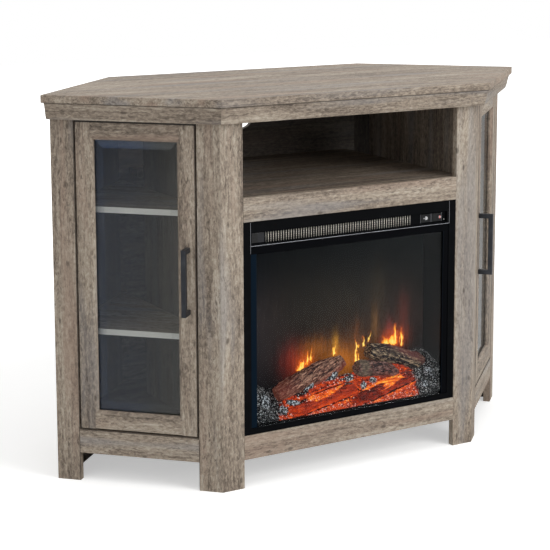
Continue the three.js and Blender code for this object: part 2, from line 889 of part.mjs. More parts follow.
function fireHousing() {
  const shell = block([-housingHalf, housingHalf], [housingFront, housingRear], [housingFoot, housingHead]);
  const inside = [-insideHalf, insideHalf];
  const depth = [housingFront - overrun, housingRear - sheet];
  const firebox = block(inside, depth, [fireFloor, heaterFloor - sheet]);
  const heater = block(inside, depth, [heaterFloor, housingHead - sheet]);
  const louvres = Array.from({ length: heaterLouvres }, (_, i) => {
    const middle = (i - (heaterLouvres - 1) / 2) * louvrePitch;
    const rear = [housingRear - overrun, housingRear + overrun];
    return block(around(middle, louvreWidth), rear, around(slotMiddle, louvreHeight));
  });
  const place = [spindleDepth, spindleHeight];
  const bossEnd = -insideHalf + spindleBoss;
  const boss = rod("x", place, 2 * spindleRadius, [-housingHalf + sheet / 2, bossEnd], spindleSides);
  const bore = rod("x", place, spindleRadius + fitGap, [-insideHalf, bossEnd + overrun], spindleSides);
  return cut(joined(cut(shell, firebox, heater, ...louvres), boss), bore);
}
piece(stand, "fire_housing", "steel", fireHousing());

const flameScreen = block(
  [-insideHalf + fitGap, insideHalf - fitGap],
  [screenFront, screenFront + screenThick],
  [fireFloor + fitGap, heaterFloor - sheet - fitGap],
);
piece(stand, "flame_screen", "screen", flameScreen);

// Logs: ridged, tapering and slightly bowed. Places are shares of the fire's half width,
// of the depth from the housing's front to the screen, and of the window's height.
function inFire([across, back, up]) {
  return new THREE.Vector3(
    across * windowHalf,
    housingFront + back * (screenFront - housingFront),
    fireFloor + up * (windowHead - fireFloor),
  );
}

function logSolid({ fromShares, toShares, radius, twist }, swell = 0) {
  const [from, to] = [inFire(fromShares), inFire(toShares)];
  const along = to.clone().sub(from);
  const length = along.length();
  along.normalize();
  const sideways = new THREE.Vector3(0, 0, 1).cross(along).normalize();
  const upwards = along.clone().cross(sideways);
  const rings = [];
  for (let i = 0; i <= logRings; i++) {
    const share = i / logRings;
    const reach = (share - 1 / 2) * (length + 2 * swell) + length / 2;
    const bow = logBowShare * radius * Math.sin(Math.PI * share);
    const taper = 1 - logTaperShare * (2 * share - 1) ** 8;
    const centre = from.clone().addScaledVector(along, reach).addScaledVector(upwards, bow);
    rings.push(Array.from({ length: logSides }, (_, k) => {
      const turn = (2 * Math.PI * k) / logSides;
      const ridge = logRidgeShare * Math.sin(3 * turn + twist + 4 * share);
      const knot = logKnotShare * Math.sin(2 * turn - twist + 9 * share);
      const reachOut = radius * taper * (1 + ridge + knot) + swell;
      return centre
        .clone()
        .addScaledVector(sideways, reachOut * Math.cos(turn))
        .addScaledVector(upwards, reachOut * Math.sin(turn));
    }));
  }
  return loft(rings);
}

const looseLogs = {
  left_log: {
    fromShares: [-0.65, 0.34, 0.15],
    toShares: [0.06, 0.56, 0.252],
    radius: leftLogRadius,
    twist: 0,
  },
  center_log: {
    fromShares: [0.19, 0.46, 0.21],
    toShares: [0.62, 0.5, 0.146],
    radius: centerLogRadius,
    twist: 2,
  },
  right_log: {
    fromShares: [0.36, 0.67, 0.28],
    toShares: [0.94, 0.63, 0.166],
    radius: rightLogRadius,
    twist: 4,
  },
};
const bedLogs = [
  {
    fromShares: [-0.495, 0.18, 0.06],
    toShares: [0.146, 0.377, 0.115],
    radius: frontLogRadius,
    twist: 1,
  },
  {
    fromShares: [0.134, 0.185, 0.057],
    toShares: [0.755, 0.44, 0.126],
    radius: frontLogRadius,
    twist: 3,
  },
  {
    fromShares: [-0.467, 0.29, 0.118],
    toShares: [0.146, 0.48, 0.167],
    radius: charredLogRadius,
    twist: 5,
  },
];

// Ember bed: a moulded mat that climbs to the screen, heaped at both ends, with the
// glowing front logs in one piece with it and a cradle under each loose log
function bedHeight(across, back) {
  const climb = bedEdge + bedRise * Math.sin((Math.PI / 2) * back);
  const fromFront = Math.sin((Math.PI / 2) * Math.min(1, 2 * back));
  const heapFill = heapFrontShare + (1 - heapFrontShare) * fromFront;
  const heap = (place) => heapFill * Math.exp(-(((across - place) / heapWidthShare) ** 2));
  const heaps = leftHeapHeight * heap(heapPlaceShares[0]) + rightHeapHeight * heap(heapPlaceShares[1]);
  const grain = Math.sin(31 * across + 5 * back) + Math.sin(17 * across - 11 * back);
  return climb + heaps + bedGrain * grain;
}

function bedMat() {
  const [left, right] = [-insideHalf + fitGap, insideHalf - fitGap];
  const [front, rear] = [housingFront + fitGap, screenFront - fitGap];
  const foot = fireFloor + fitGap;
  const rings = [];
  for (let column = 0; column <= bedColumns; column++) {
    const x = left + (column / bedColumns) * (right - left);
    const ring = [new THREE.Vector3(x, front, foot), new THREE.Vector3(x, rear, foot)];
    for (let row = bedRows; row >= 0; row--) {
      const back = row / bedRows;
      const z = foot + bedHeight(x / windowHalf, back);
      ring.push(new THREE.Vector3(x, front + back * (rear - front), z));
    }
    rings.push(ring);
  }
  return loft(rings);
}

function emberBed() {
  const cradles = Object.values(looseLogs).map((log) => logSolid(log, fitGap));
  return cut(joined(bedMat(), ...bedLogs.map((log) => logSolid(log))), ...cradles);
}
piece(stand, "ember_bed", "ember", emberBed());
piece(stand, "left_log", "bark", logSolid(looseLogs.left_log));
piece(stand, "right_log", "bark", logSolid(looseLogs.right_log));
const centerLog = cut(logSolid(looseLogs.center_log), logSolid(looseLogs.right_log, fitGap));
piece(stand, "center_log", "bark", centerLog);

// Flame spindle: thin flags set round a shaft, which throw moving light on the screen
const motorLeft = insideHalf - fitGap - motorLength;

function flameSpindle() {
  const place = [spindleDepth, spindleHeight];
  const shaft = rod(
    "x",
    place,
    spindleRadius,
    [-insideHalf + fitGap, motorLeft + motorLength / 2 - fitGap],
    spindleSides,
  );
  const [first, last] = [-insideHalf + spindleBoss + flagEndGap, motorLeft - flagEndGap];
  const pitch = (last - first) / flagCount;
  const flags = Array.from({ length: flagCount }, (_, i) => {
    const flag = block(
      around(0, pitch * flagLengthShare),
      around(0, 2 * flagRadius),
      around(0, flagThick),
    );
    flag.rotateX((i * Math.PI) / flagCount * 2);
    return flag.translate(first + (i + 1 / 2) * pitch, ...place);
  });
  return joined(shaft, ...flags);
}
piece(stand, "flame_spindle", "nickel", flameSpindle());

function spindleMotor() {
  const place = [spindleDepth, spindleHeight];
  const body = rod("x", place, motorRadius, [motorLeft, motorLeft + motorLength], motorSides);
  const boreSpan = [motorLeft - overrun, motorLeft + motorLength / 2];
  return cut(body, rod("x", place, spindleRadius + fitGap, boreSpan, spindleSides));
}
piece(stand, "spindle_motor", "steel", spindleMotor());

// Blower: a tangential wheel of curved blades in a duct that blows out of the vent, with
// the wheel's motor on the duct's right end plate
const wheelDepth = housingFront + ductPlace;
const wheelPlace = [wheelDepth, slotMiddle];
const ductLeft = ventLeft + ventRim;
const ductRight = ventRight - ventRim;
const ductRadius = wheelRadius + ductClearance + ductWall;

function heaterDuct() {
  const mouthHalf = slotHeight / 2 - ventRim;
  const mouth = [housingFront + fitGap, wheelDepth];
  const inner = [ductLeft + ductWall, ductRight - ductWall];
  const feet = [ductLeft, ductRight - ductFoot].map((x) =>
    block([x, x + ductFoot], around(wheelDepth, ductFoot), [heaterFloor + fitGap, slotMiddle]),
  );
  const motor = rod(
    "x",
    wheelPlace,
    blowerMotorRadius,
    [ductRight - ductWall / 2, ductRight + blowerMotorLength],
    motorSides,
  );
  const shell = joined(
    rod("x", wheelPlace, ductRadius, [ductLeft, ductRight], motorSides),
    block([ductLeft, ductRight], mouth, around(slotMiddle, 2 * mouthHalf)),
    motor,
    ...feet,
  );
  const shaftBore = rod(
    "x",
    wheelPlace,
    spindleRadius + fitGap,
    [ductLeft - overrun, ductRight + blowerMotorLength / 2],
    spindleSides,
  );
  return cut(
    shell,
    rod("x", wheelPlace, ductRadius - ductWall, inner, motorSides),
    block(inner, [housingFront - overrun, wheelDepth], around(slotMiddle, 2 * (mouthHalf - ductWall))),
    block(inner, [wheelDepth, wheelDepth + ductRadius + overrun], around(slotMiddle, ductIntake)),
    shaftBore,
  );
}
piece(stand, "heater_duct", "steel", heaterDuct());

function bladeOutline(index) {
  const half = bladeChord / 2;
  const centreRadius = wheelRadius - half - bladeThick;
  const camber = bladeCurveShare * bladeChord;
  const face = (offset) => [-1, 0, 1].map((p) =>
    new THREE.Vector2(p * half, camber * (1 - p * p) + offset * bladeThick / 2));
  const origin = new THREE.Vector2();
  return [...face(-1), ...face(1).reverse()].map((point) => {
    point.rotateAround(origin, bladeTurn);
    point.x += centreRadius;
    point.rotateAround(origin, (2 * Math.PI * index) / wheelBlades);
    return point.add(new THREE.Vector2(...wheelPlace));
  });
}

function blowerWheel() {
  const [left, right] = [ductLeft + ductWall + wheelEndGap, ductRight - ductWall - wheelEndGap];
  const middle = (left + right) / 2;
  const discs = [left, middle - wheelDisc / 2, right - wheelDisc].map((x) =>
    rod("x", wheelPlace, wheelRadius, [x, x + wheelDisc], motorSides),
  );
  const blades = Array.from({ length: wheelBlades }, (_, i) =>
    sweep(bladeOutline(i), "x", [left + wheelDisc / 2, right - wheelDisc / 2]),
  );
  const ends = [
    [ductLeft - shaftProud, left + wheelDisc / 2],
    [right - wheelDisc / 2, ductRight + blowerMotorLength / 2 - fitGap],
  ];
  const shafts = ends.map((span) => rod("x", wheelPlace, spindleRadius, span, spindleSides));
  return joined(discs[0], ...discs.slice(1), ...blades, ...shafts);
}
piece(stand, "blower_wheel", "blackPlastic", blowerWheel());

export default stand;
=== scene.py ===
import math
import random
from functools import reduce

import bmesh
import bpy
from mathutils import Matrix, Vector
from mathutils.noise import noise


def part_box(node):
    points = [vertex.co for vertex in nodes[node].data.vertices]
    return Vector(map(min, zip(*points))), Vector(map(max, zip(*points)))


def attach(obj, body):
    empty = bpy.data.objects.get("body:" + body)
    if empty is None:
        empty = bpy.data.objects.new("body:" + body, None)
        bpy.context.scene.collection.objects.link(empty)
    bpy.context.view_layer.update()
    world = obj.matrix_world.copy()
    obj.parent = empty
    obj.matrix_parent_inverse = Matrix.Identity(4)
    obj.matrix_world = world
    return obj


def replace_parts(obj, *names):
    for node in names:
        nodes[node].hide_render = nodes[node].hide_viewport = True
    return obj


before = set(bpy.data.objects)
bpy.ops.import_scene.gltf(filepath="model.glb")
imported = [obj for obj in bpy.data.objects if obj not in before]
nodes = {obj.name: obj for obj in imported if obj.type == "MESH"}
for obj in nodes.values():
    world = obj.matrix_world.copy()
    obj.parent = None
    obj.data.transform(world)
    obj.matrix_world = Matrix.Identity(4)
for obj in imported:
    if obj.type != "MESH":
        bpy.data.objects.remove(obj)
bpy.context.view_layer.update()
scene = bpy.context.scene
show = scene.collection.objects.link
print("frame loaded:", len(nodes), "pieces")


# Camera: turned to the left front corner, a little above the top
viewpoint = {
    "place": (-1.7868, -3.0266, 1.167), "turn": 30.967, "tiltDown": 8.798, "lens": 105.2,
    "shift": (-0.06, -0.2),
}
cameraData = bpy.data.cameras.new("viewCamera")
cameraData.sensor_width = 36
cameraData.lens = viewpoint["lens"]
cameraData.shift_x, cameraData.shift_y = viewpoint["shift"]
camera = bpy.data.objects.new("viewCamera", cameraData)
camera.location = viewpoint["place"]
tilt, turn = math.radians(90 - viewpoint["tiltDown"]), math.radians(-viewpoint["turn"])
camera.rotation_euler = (tilt, 0, turn)
show(camera)
scene.camera = camera
print("camera placed")


# A flow is one output of a node, and sums of flows become math nodes
class Flow:
    def __init__(self, socket):
        self.socket, self.tree = socket, socket.id_data

    def __rsub__(self, other):
        return calc("SUBTRACT", other, self)

    def __abs__(self):
        return calc("ABSOLUTE", self)


def makeSum(operation):
    return lambda first, second: calc(operation, first, second)


sums = {"add": "ADD", "sub": "SUBTRACT", "mul": "MULTIPLY", "truediv": "DIVIDE"}
for method, operation in {**sums, "gt": "GREATER_THAN", "lt": "LESS_THAN"}.items():
    setattr(Flow, f"__{method}__", makeSum(operation))


def srgb(code):
    parts = [int(code[i : i + 2], 16) / 255 for i in (1, 3, 5)]
    linear = [c / 12.92 if c <= 0.04045 else ((c + 0.055) / 1.055) ** 2.4 for c in parts]
    return (*linear, 1.0)


def plug(socket, value):
    if isinstance(value, Flow):
        value.tree.links.new(value.socket, socket)
    elif isinstance(value, str) and value.startswith("#"):
        socket.default_value = srgb(value)
    else:
        socket.default_value = value


def add(tree, kind, inputs=None, **settings):
    node = tree.nodes.new(kind)
    for key, value in settings.items():
        setattr(node, key, value)
    for key, value in (inputs or {}).items():
        plug(node.inputs[key], value)
    return node


def take(tree, kind, inputs=None, output=0, **settings):
    return Flow(add(tree, kind, inputs, **settings).outputs[output])


def treeOf(*values):
    return next(value.tree for value in values if isinstance(value, Flow))


def calc(operation, *values, clamp=False):
    inputs = dict(enumerate(values))
    return take(treeOf(*values), "ShaderNodeMath", inputs, operation=operation, use_clamp=clamp)


highest, lowest = makeSum("MAXIMUM"), makeSum("MINIMUM")


def scaled(value, by, plus):
    return calc("MULTIPLY_ADD", value, by, plus)


# A noise's swing about its middle value, added to a base
def swing(base, value, by):
    return scaled(value - 0.5, by, base)


def vectorCalc(operation, *values, output=0):
    inputs = dict(enumerate(values))
    return take(treeOf(*values), "ShaderNodeVectorMath", inputs, output, operation=operation)


def reachAlong(place, direction):
    return vectorCalc("DOT_PRODUCT", place, tuple(direction), output="Value")


def axes(vector):
    return [Flow(part) for part in add(vector.tree, "ShaderNodeSeparateXYZ", {0: vector}).outputs]


def combined(x, y, z):
    tree = treeOf(x, y, z)
    return take(tree, "ShaderNodeCombineXYZ", {"X": x, "Y": y, "Z": z})


# Stops: a place from 0 to 1, and a color as code or as linear values
def ramp(value, stops):
    node = add(value.tree, "ShaderNodeValToRGB", {0: value})
    line = node.color_ramp
    line.elements[0].position = stops[0][0]
    line.elements[1].position = stops[-1][0]
    for place, _ in stops[1:-1]:
        line.elements.new(place)
    for element, (_, color) in zip(line.elements, stops):
        element.color = srgb(color) if isinstance(color, str) else (*color, 1)
    return Flow(node.outputs[0])


def mixColor(share, first, second, how="MIX"):
    inputs = {0: share, 6: first, 7: second}
    tree = treeOf(share, first, second)
    return take(tree, "ShaderNodeMix", inputs, 2, data_type="RGBA", blend_type=how)


# Coats laid over a color, each with the share that it covers
def over(color, *coats):
    for share, coat in coats:
        color = mixColor(share, color, coat)
    return color


def speckle(vector, scale, detail=2, rough=0.6, warp=0.0):
    inputs = {"Vector": vector, "Scale": scale, "Detail": detail, "Roughness": rough}
    return take(vector.tree, "ShaderNodeTexNoise", {**inputs, "Distortion": warp})


def cells(vector, scale=1.0, feature="F1"):
    inputs = {"Vector": vector, "Scale": scale}
    return take(vector.tree, "ShaderNodeTexVoronoi", inputs, "Distance", feature=feature)


def stretched(vector, scale):
    return take(vector.tree, "ShaderNodeMapping", {"Vector": vector, "Scale": scale})


def layer(vector, stretch, scale, *settings):
    return speckle(stretched(vector, stretch), scale, *settings)


def between(value, low, high):
    inputs = {"Value": value, "From Min": low, "From Max": high}
    return take(value.tree, "ShaderNodeMapRange", inputs, interpolation_type="SMOOTHSTEP")


def stored(vector, name):
    return take(vector.tree, "ShaderNodeAttribute", output="Fac", attribute_name=name)


def startGroup(name, kind, inputs, outputs):
    tree = bpy.data.node_groups.new(name, kind)
    for way, labels in (("INPUT", inputs), ("OUTPUT", outputs)):
        for label, form in labels.items():
            tree.interface.new_socket(label, in_out=way, socket_type="NodeSocket" + form)
    source, sink = add(tree, "NodeGroupInput"), add(tree, "NodeGroupOutput")
    return tree, {socket.name: Flow(socket) for socket in source.outputs}, sink.inputs


def startFinish(name):
    finish = bpy.data.materials.new(name)
    finish.use_nodes = True
    tree = finish.node_tree
    place = take(tree, "ShaderNodeTexCoord", output="Object")
    return finish, tree.nodes["Principled BSDF"], place


shaderInputs = {
    "color": "Base Color", "rough": "Roughness", "metal": "Metallic",
    "specular": "Specular IOR Level", "glow": "Emission Color", "strength": "Emission Strength",
}


def paint(shader, **values):
    for key, value in values.items():
        plug(shader.inputs[shaderInputs[key]], value)


def bumped(shader, height, strength, distance):
    inputs = {"Height": height, "Strength": strength, "Distance": distance}
    plug(shader.inputs["Normal"], take(height.tree, "ShaderNodeBump", inputs))


# Directions of the two angled sides, and how far a piece reaches along one
sides = {"left": -1, "right": 1}
slant = math.sqrt(0.5)
upward = Vector((0, 0, 1))
inward = Vector((0, 1, 0))
rightward = Vector((1, 0, 0))


def alongDoor(side):
    return Vector((sides[side] * slant, slant, 0))


def behindDoor(side):
    return Vector((-sides[side] * slant, slant, 0))


def reach(name, direction):
    spots = [corner.co.dot(direction) for corner in nodes[name].data.vertices]
    return min(spots), max(spots)


def dress(finish, *names):
    for name in names:
        slots = nodes[name].data.materials
        slots.clear()
        slots.append(finish)


# Weathered oak laminate, one pattern group turned and shifted for each board
oakLook = {
    "stops": (
        (0.0, "#453b34"), (0.28, "#74685c"), (0.5, "#968879"), (0.74, "#b0a494"),
        (1.0, "#c2b8aa"),
    ),
    "deep": "#453b34", "cool": "#8d8b8b", "warm": "#a08878", "knots": (2.4, 10, 10),
    "drift": ((2, 12, 12), 1.6, 3, 0.5), "pins": (15, 36, 36), "relief": 0.0006,
}
# Noise layers: stretch, scale, detail, roughness and warp
oakLayers = {
    "cloud": ((1.3, 9, 9), 2.2, 4, 0.55),
    "bands": ((1.6, 55, 55), 1.0, 5, 0.62),
    "streak": ((11, 240, 240), 1.0, 4, 0.65),
    "fissure": ((60, 300, 300), 1.0, 3, 0.7, 0.5),
    "crackle": ((95, 230, 230), 1.0, 3, 0.7, 0.6),
    "patch": ((5, 22, 22), 1.0, 2, 0.5),
    "tint": ((1.1, 14, 14), 1.7, 2, 0.5),
}
oakWeights = {"cloud": 0.75, "bands": 0.75, "streak": 0.85, "crackle": 1.3}


def makeOakGroup():
    inputs = {"Place": "Vector", "Tone": "Float"}
    outputs = {"Color": "Color", "Height": "Float", "Roughness": "Float"}
    group, get, sink = startGroup("weatheredOak", "ShaderNodeTree", inputs, outputs)
    place = get["Place"]

    # Sparse knots push the grain lines aside
    knot = cells(stretched(place, oakLook["knots"]))
    push = between(knot, 0.45, 0.0) * 0.03 + layer(place, *oakLook["drift"]) * 0.04
    bent = vectorCalc("ADD", place, combined(0.0, push, push))
    moved = {"bands": bent, "streak": bent, "fissure": bent}
    noises = {name: layer(moved.get(name, place), *look) for name, look in oakLayers.items()}

    value = get["Tone"]
    for name, weight in oakWeights.items():
        value = swing(value, noises[name], weight)
    tint, crackle = noises["tint"], noises["crackle"]
    patch = scaled(between(noises["patch"], 0.4, 0.68), 0.6, 0.25)
    crack = between(noises["fissure"], 0.53, 0.64) * patch
    pin = cells(stretched(bent, oakLook["pins"]))
    heart = highest(between(knot, 0.1, 0.02) * 0.75, between(pin, 0.15, 0.05) * 0.7)
    cool = (between(tint, 0.52, 0.7) * 0.5, oakLook["cool"])
    warm = (between(tint, 0.46, 0.3) * 0.45, oakLook["warm"])
    deep = (highest(crack * 0.75, heart), oakLook["deep"])
    plug(sink["Color"], over(ramp(value, oakLook["stops"]), cool, warm, deep))
    plug(sink["Height"], scaled(noises["streak"], 0.35, crackle * 0.5 - crack))
    plug(sink["Roughness"], scaled(crackle, 0.25, 0.5))
    return group


oakGroup = makeOakGroup()


# The turn that brings a board's length onto the pattern's grain
def grainTurn(name):
    if name.endswith(("_post", "_divider", "_wall_panel", "_stile")):
        return 0, math.radians(90), 0
    return 0, 0, math.radians(-45 * sides.get(name.split("_")[0], 0))


def oakFinish(name, tone, shift, shades):
    finish, shader, place = startFinish("oak_" + name)
    tree = finish.node_tree
    turned = take(tree, "ShaderNodeMapping", {"Vector": place, "Rotation": grainTurn(name)})
    inputs = {"Place": vectorCalc("ADD", turned, shift), "Tone": tone}
    oak = add(tree, "ShaderNodeGroup", inputs, node_tree=oakGroup).outputs
    color = Flow(oak["Color"])
    # Painted shadow and shade mixed into the oak's colour; the gap shadow is kept off the faces
    # turned along its direction
    for direction, start, full, tint, amount in shades:
        share = between(reachAlong(place, direction), start, full) * amount
        if tint == gap:
            facing = reachAlong(take(tree, "ShaderNodeTexCoord", output="Normal"), direction)
            share = share * between(facing, 0.97, 0.85)
        color = mixColor(share, color, tint)
    paint(shader, color=color, rough=Flow(oak["Roughness"]), specular=0.35)
    bumped(shader, Flow(oak["Height"]), 0.55, oakLook["relief"])
    return finish


# Each board's tone from 0, dark, to 1, pale
boards = {
    "top_slab": 0.5, "front_crown": 0.48, "left_crown": 0.44, "right_crown": 0.46,
    "left_front_post": 0.5, "right_front_post": 0.5, "left_far_post": 0.48,
    "right_far_post": 0.48, "front_lower_rail": 0.54, "front_middle_rail": 0.54,
    "left_lower_rail": 0.56, "right_lower_rail": 0.5, "bottom_deck": 0.45, "media_shelf": 0.4,
    "left_divider": 0.4, "right_divider": 0.4, "left_wall_panel": 0.42,
    "right_wall_panel": 0.42, "left_lower_shelf": 0.56, "left_upper_shelf": 0.56,
    "right_lower_shelf": 0.56, "right_upper_shelf": 0.56, "left_door_hinge_stile": 0.46,
    "left_door_handle_stile": 0.51, "left_door_top_rail": 0.45, "left_door_bottom_rail": 0.47,
    "right_door_hinge_stile": 0.46, "right_door_handle_stile": 0.48,
    "right_door_top_rail": 0.45, "right_door_bottom_rail": 0.47, "back_panel": 0.36,
}
# Painted shadow in the gaps, painted shade on the dim insides and pale edge bands painted as a
# highlight, on faces or along edges
shadeLook = {
    "gap": "#15110f", "inside": "#17181b", "paleEdgeHighlight": "#fbf8f0", "edge": 0.0013, "head": 0.0046,
}
gap, inside = shadeLook["gap"], shadeLook["inside"]


# A painted shade: its direction, where along it the shade starts and is full, tint and amount
def faceShade(name, direction, start, full, tint, amount):
    end = reach(name, direction)[1]
    return direction, end - start, end - full, tint, amount


# Painted shadow in the gap at a board's end
def endShade(name, direction, amount=0.9, wide=shadeLook["edge"]):
    return faceShade(name, direction, wide, wide * 0.6, gap, amount)


# Painted shade over a whole board inside the cabinet
def wholeShade(amount):
    return upward, -2, -1, inside, amount


def sideShades(side):
    door, along, behind = side + "_door_", alongDoor(side), behindDoor(side)
    edges = {
        door + "hinge_stile": along,
        door + "handle_stile": -along,
        door + "bottom_rail": -upward,
        side + "_front_post": along,
        side + "_far_post": -along,
        side + "_lower_rail": upward,
    }
    made = {name: [endShade(name, way)] for name, way in edges.items()}
    # Painted shadow under the crown, across the top of each door
    for name in (door + "hinge_stile", door + "handle_stile", door + "top_rail"):
        made.setdefault(name, []).append(endShade(name, upward, 0.95, shadeLook["head"]))
    # Painted shade on the dividers, strongest on their outer faces, and on the wall panels away
    # from their outer faces
    divider, panel = side + "_divider", side + "_wall_panel"
    outward = Vector((sides[side], 0, 0))
    middle = sum(reach(divider, outward)) / 2
    made[divider] = [wholeShade(0.28), (outward, middle, middle + 0.002, inside, 0.5)]
    wall = reach(panel, along)[1]
    made[panel] = [(-along, 0.004 - wall, 0.012 - wall, inside, 0.74)]
    # The shelves' front edges painted near white: a pale edge band with a painted highlight
    for shelf in (side + "_lower_shelf", side + "_upper_shelf"):
        made[shelf] = [faceShade(shelf, -behind, 0.0012, 0.0006, shadeLook["paleEdgeHighlight"], 0.88)]
    return made


# Painted shadow under the slab and along the media shelf's front; painted shade on the back
# panel's front, the deck and the media shelf
shades = {
    "top_slab": [faceShade("top_slab", -upward, 0.0016, 0.0004, gap, 0.6)],
    "back_panel": [faceShade("back_panel", -inward, 0.002, 0.0, inside, 0.62)],
    "bottom_deck": [wholeShade(0.7)],
    "media_shelf": [wholeShade(0.12), endShade("media_shelf", -inward, 0.85, 0.005)],
    **sideShades("left"),
    **sideShades("right"),
}
# Painted shadow along the top of each crown, under the slab
for crown in ("front_crown", "left_crown", "right_crown"):
    shades[crown] = [faceShade(crown, upward, 0.0018, 0.0006, gap, 0.75)]

chooser = random.Random(12)
for name, tone in boards.items():
    shift = tuple(chooser.uniform(-4, 4) for _ in range(3))
    dress(oakFinish(name, tone, shift, shades.get(name, ())), name)
print("oak boards dressed:", len(boards))


# Metals and plastics: color, worn color, metalness, roughness, grit's scale, specular level
metalLooks = {
    "handleIron": ("#2b2d32", "#3d3f44", 0.55, 0.38, 900, 0.5),
    "hingeNickel": ("#a8a7a2", "#c4c3bf", 0.95, 0.28, 500, 0.5),
    "blackCoat": ("#07080a", "#0c0d10", 0.0, 0.5, 1500, 0.03),
    "housingSteel": ("#0b0b0d", "#131315", 0.0, 0.6, 1100, 0.5),
    "blackPlastic": ("#17181a", "#232427", 0.0, 0.5, 1300, 0.5),
    "brightTrim": ("#7f8085", "#a2a3a8", 1.0, 0.2, 700, 0.5),
    "ventWire": ("#d8d3c8", "#f4f0e6", 0.2, 0.34, 900, 0.5),
    "spindleFoil": ("#b9bcc0", "#dcdee0", 1.0, 0.12, 260, 0.5),
}


def metalFinish(name):
    color, worn, metal, rough, grain, specular = metalLooks[name]
    finish, shader, place = startFinish(name)
    grit = speckle(place, grain)
    wear = between(speckle(place, 28, 4, 0.65), 0.45, 0.75)
    rough = scaled(wear, 0.08, scaled(grit, 0.2, rough - 0.1))
    paint(shader, color=mixColor(wear, color, worn), rough=rough, metal=metal, specular=specular)
    bumped(shader, grit, 0.12, 0.0002)
    return finish


metals = {name: metalFinish(name) for name in metalLooks}
nickel, blackCoat = metals["hingeNickel"], metals["blackCoat"]
for side in sides:
    dress(metals["handleIron"], side + "_handle")
    for level in ("lower", "upper"):
        hinge = f"{side}_{level}_hinge_"
        dress(nickel, hinge + "cup", hinge + "arm")
    dress(metals["blackPlastic"], side + "_catch")
dress(blackCoat, "fire_frame")
dress(metals["housingSteel"], "fire_housing", "heater_duct", "spindle_motor")
dress(metals["blackPlastic"], "blower_wheel")
dress(metals["spindleFoil"], "flame_spindle")
print("metals and plastics dressed")


# Glass: bevelled panes in the doors, a clear pane with a dark border over the fire.
# Tint, shine, the Fresnel share where it starts, veil color, least veil and its specular level
# On the doors the veil is a painted reflection haze with painted highlights on the bevel; over
# the fire it is the printed border
glassLooks = {
    "doorGlass": ("#fbfcfc", 0.74, 0.0, "#8c918f", 0.021, 0.15),
    "fireGlass": ("#f0f3f4", 0.5, 0.05, "#07080b", 0.0, 0.02),
}
glassSmear = {"tint": "#c9d1d6", "rough": 0.02, "index": 1.45}
# Bevel width and line width, and the strengths of the painted highlight on each facet and at the
# inner line
doorBevel = {
    "wide": 0.0165, "thin": 0.0006,
    "levels": {"head": 0.13, "foot": 0.05, "side": 0.042, "line": 0.1},
}
doorReflectionHues = {"left": "#6481b0", "right": "#6d7f86"}
fireBorder = {
    "half": 0.2325, "top": 0.4895, "blue": "#0b1824", "line": 0.0008, "lineColor": "#161d25",
}


def glassFinish(name, veilOf, tintOf):
    tint, shine, start, veilColor, leastSheen, specular = glassLooks[name]
    finish, shader, place = startFinish(name)
    tree = finish.node_tree
    smear = speckle(place, 14, 3)
    rough = scaled(smear, 0.03, glassSmear["rough"])
    paint(shader, color=tintOf(place, veilColor), rough=rough, specular=specular)
    gloss = take(tree, "ShaderNodeBsdfGlossy", {"Color": "#ffffff", "Roughness": rough})
    tint = mixColor(smear * 0.15, tint, glassSmear["tint"])
    clear = take(tree, "ShaderNodeBsdfTransparent", {"Color": tint})
    fresnel = take(tree, "ShaderNodeFresnel", {"IOR": glassSmear["index"]})
    share = calc("MULTIPLY", fresnel - start, shine, clamp=True)
    pane = take(tree, "ShaderNodeMixShader", {0: share, 1: clear, 2: gloss})
    inputs = {0: highest(veilOf(place), leastSheen), 1: pane, 2: Flow(shader.outputs[0])}
    framed = take(tree, "ShaderNodeMixShader", inputs)
    plug(tree.nodes["Material Output"].inputs["Surface"], framed)
    return finish


def paneSpan(side):
    along, door = alongDoor(side), side + "_door_"
    return reach(door + "handle_stile", along)[1], reach(door + "hinge_stile", along)[0]


# Painted highlight on the bevel's four facets, the top one brightest, and a painted bright line
# at the bevel's inner edge
def bevelHighlight(side):
    near, far = paneSpan(side)
    wide, levels = doorBevel["wide"], doorBevel["levels"]
    foot = reach(side + "_door_bottom_rail", upward)[1]
    head = reach(side + "_door_top_rail", upward)[0]

    def veil(place):
        spot, up = reachAlong(place, alongDoor(side)), reachAlong(place, upward)
        beside, above, below = lowest(spot - near, far - spot), head - up, up - foot
        edge = lowest(beside, lowest(above, below))
        inHead, inFoot = above < lowest(beside, below), below < lowest(beside, above)
        level = scaled(inHead, levels["head"] - levels["side"], levels["side"])
        level = scaled(inFoot, levels["foot"] - levels["side"], level) * (edge < wide)
        return highest(level, (abs(edge - wide) < doorBevel["thin"]) * levels["line"])

    return veil


# Painted reflection: the haze on each pane shifts to the door's hue towards the hinge side
def doorReflectionTint(side):
    near, far = paneSpan(side)

    def tint(place, base):
        spot = swing(reachAlong(place, alongDoor(side)), speckle(place, 4, 2, 0.5), 0.12)
        return mixColor(between(spot, near + 0.03, far - 0.05), base, doorReflectionHues[side])

    return tint


def borderVeil(place):
    wide = abs(reachAlong(place, rightward)) > fireBorder["half"]
    return highest(wide, reachAlong(place, upward) > fireBorder["top"])


def borderTint(place, base):
    across = reachAlong(place, rightward)
    low = reachAlong(place, upward) < fireBorder["top"]
    line = (abs(abs(across) - fireBorder["half"]) < fireBorder["line"]) * low
    blue = between(across, 0.1, -0.2) * low
    return over(base, (blue, fireBorder["blue"]), (line, fireBorder["lineColor"]))


for side in sides:
    pane = glassFinish("doorGlass", bevelHighlight(side), doorReflectionTint(side))
    dress(pane, side + "_door_glass")
dress(glassFinish("fireGlass", borderVeil, borderTint), "fire_glass")
print("glass dressed")


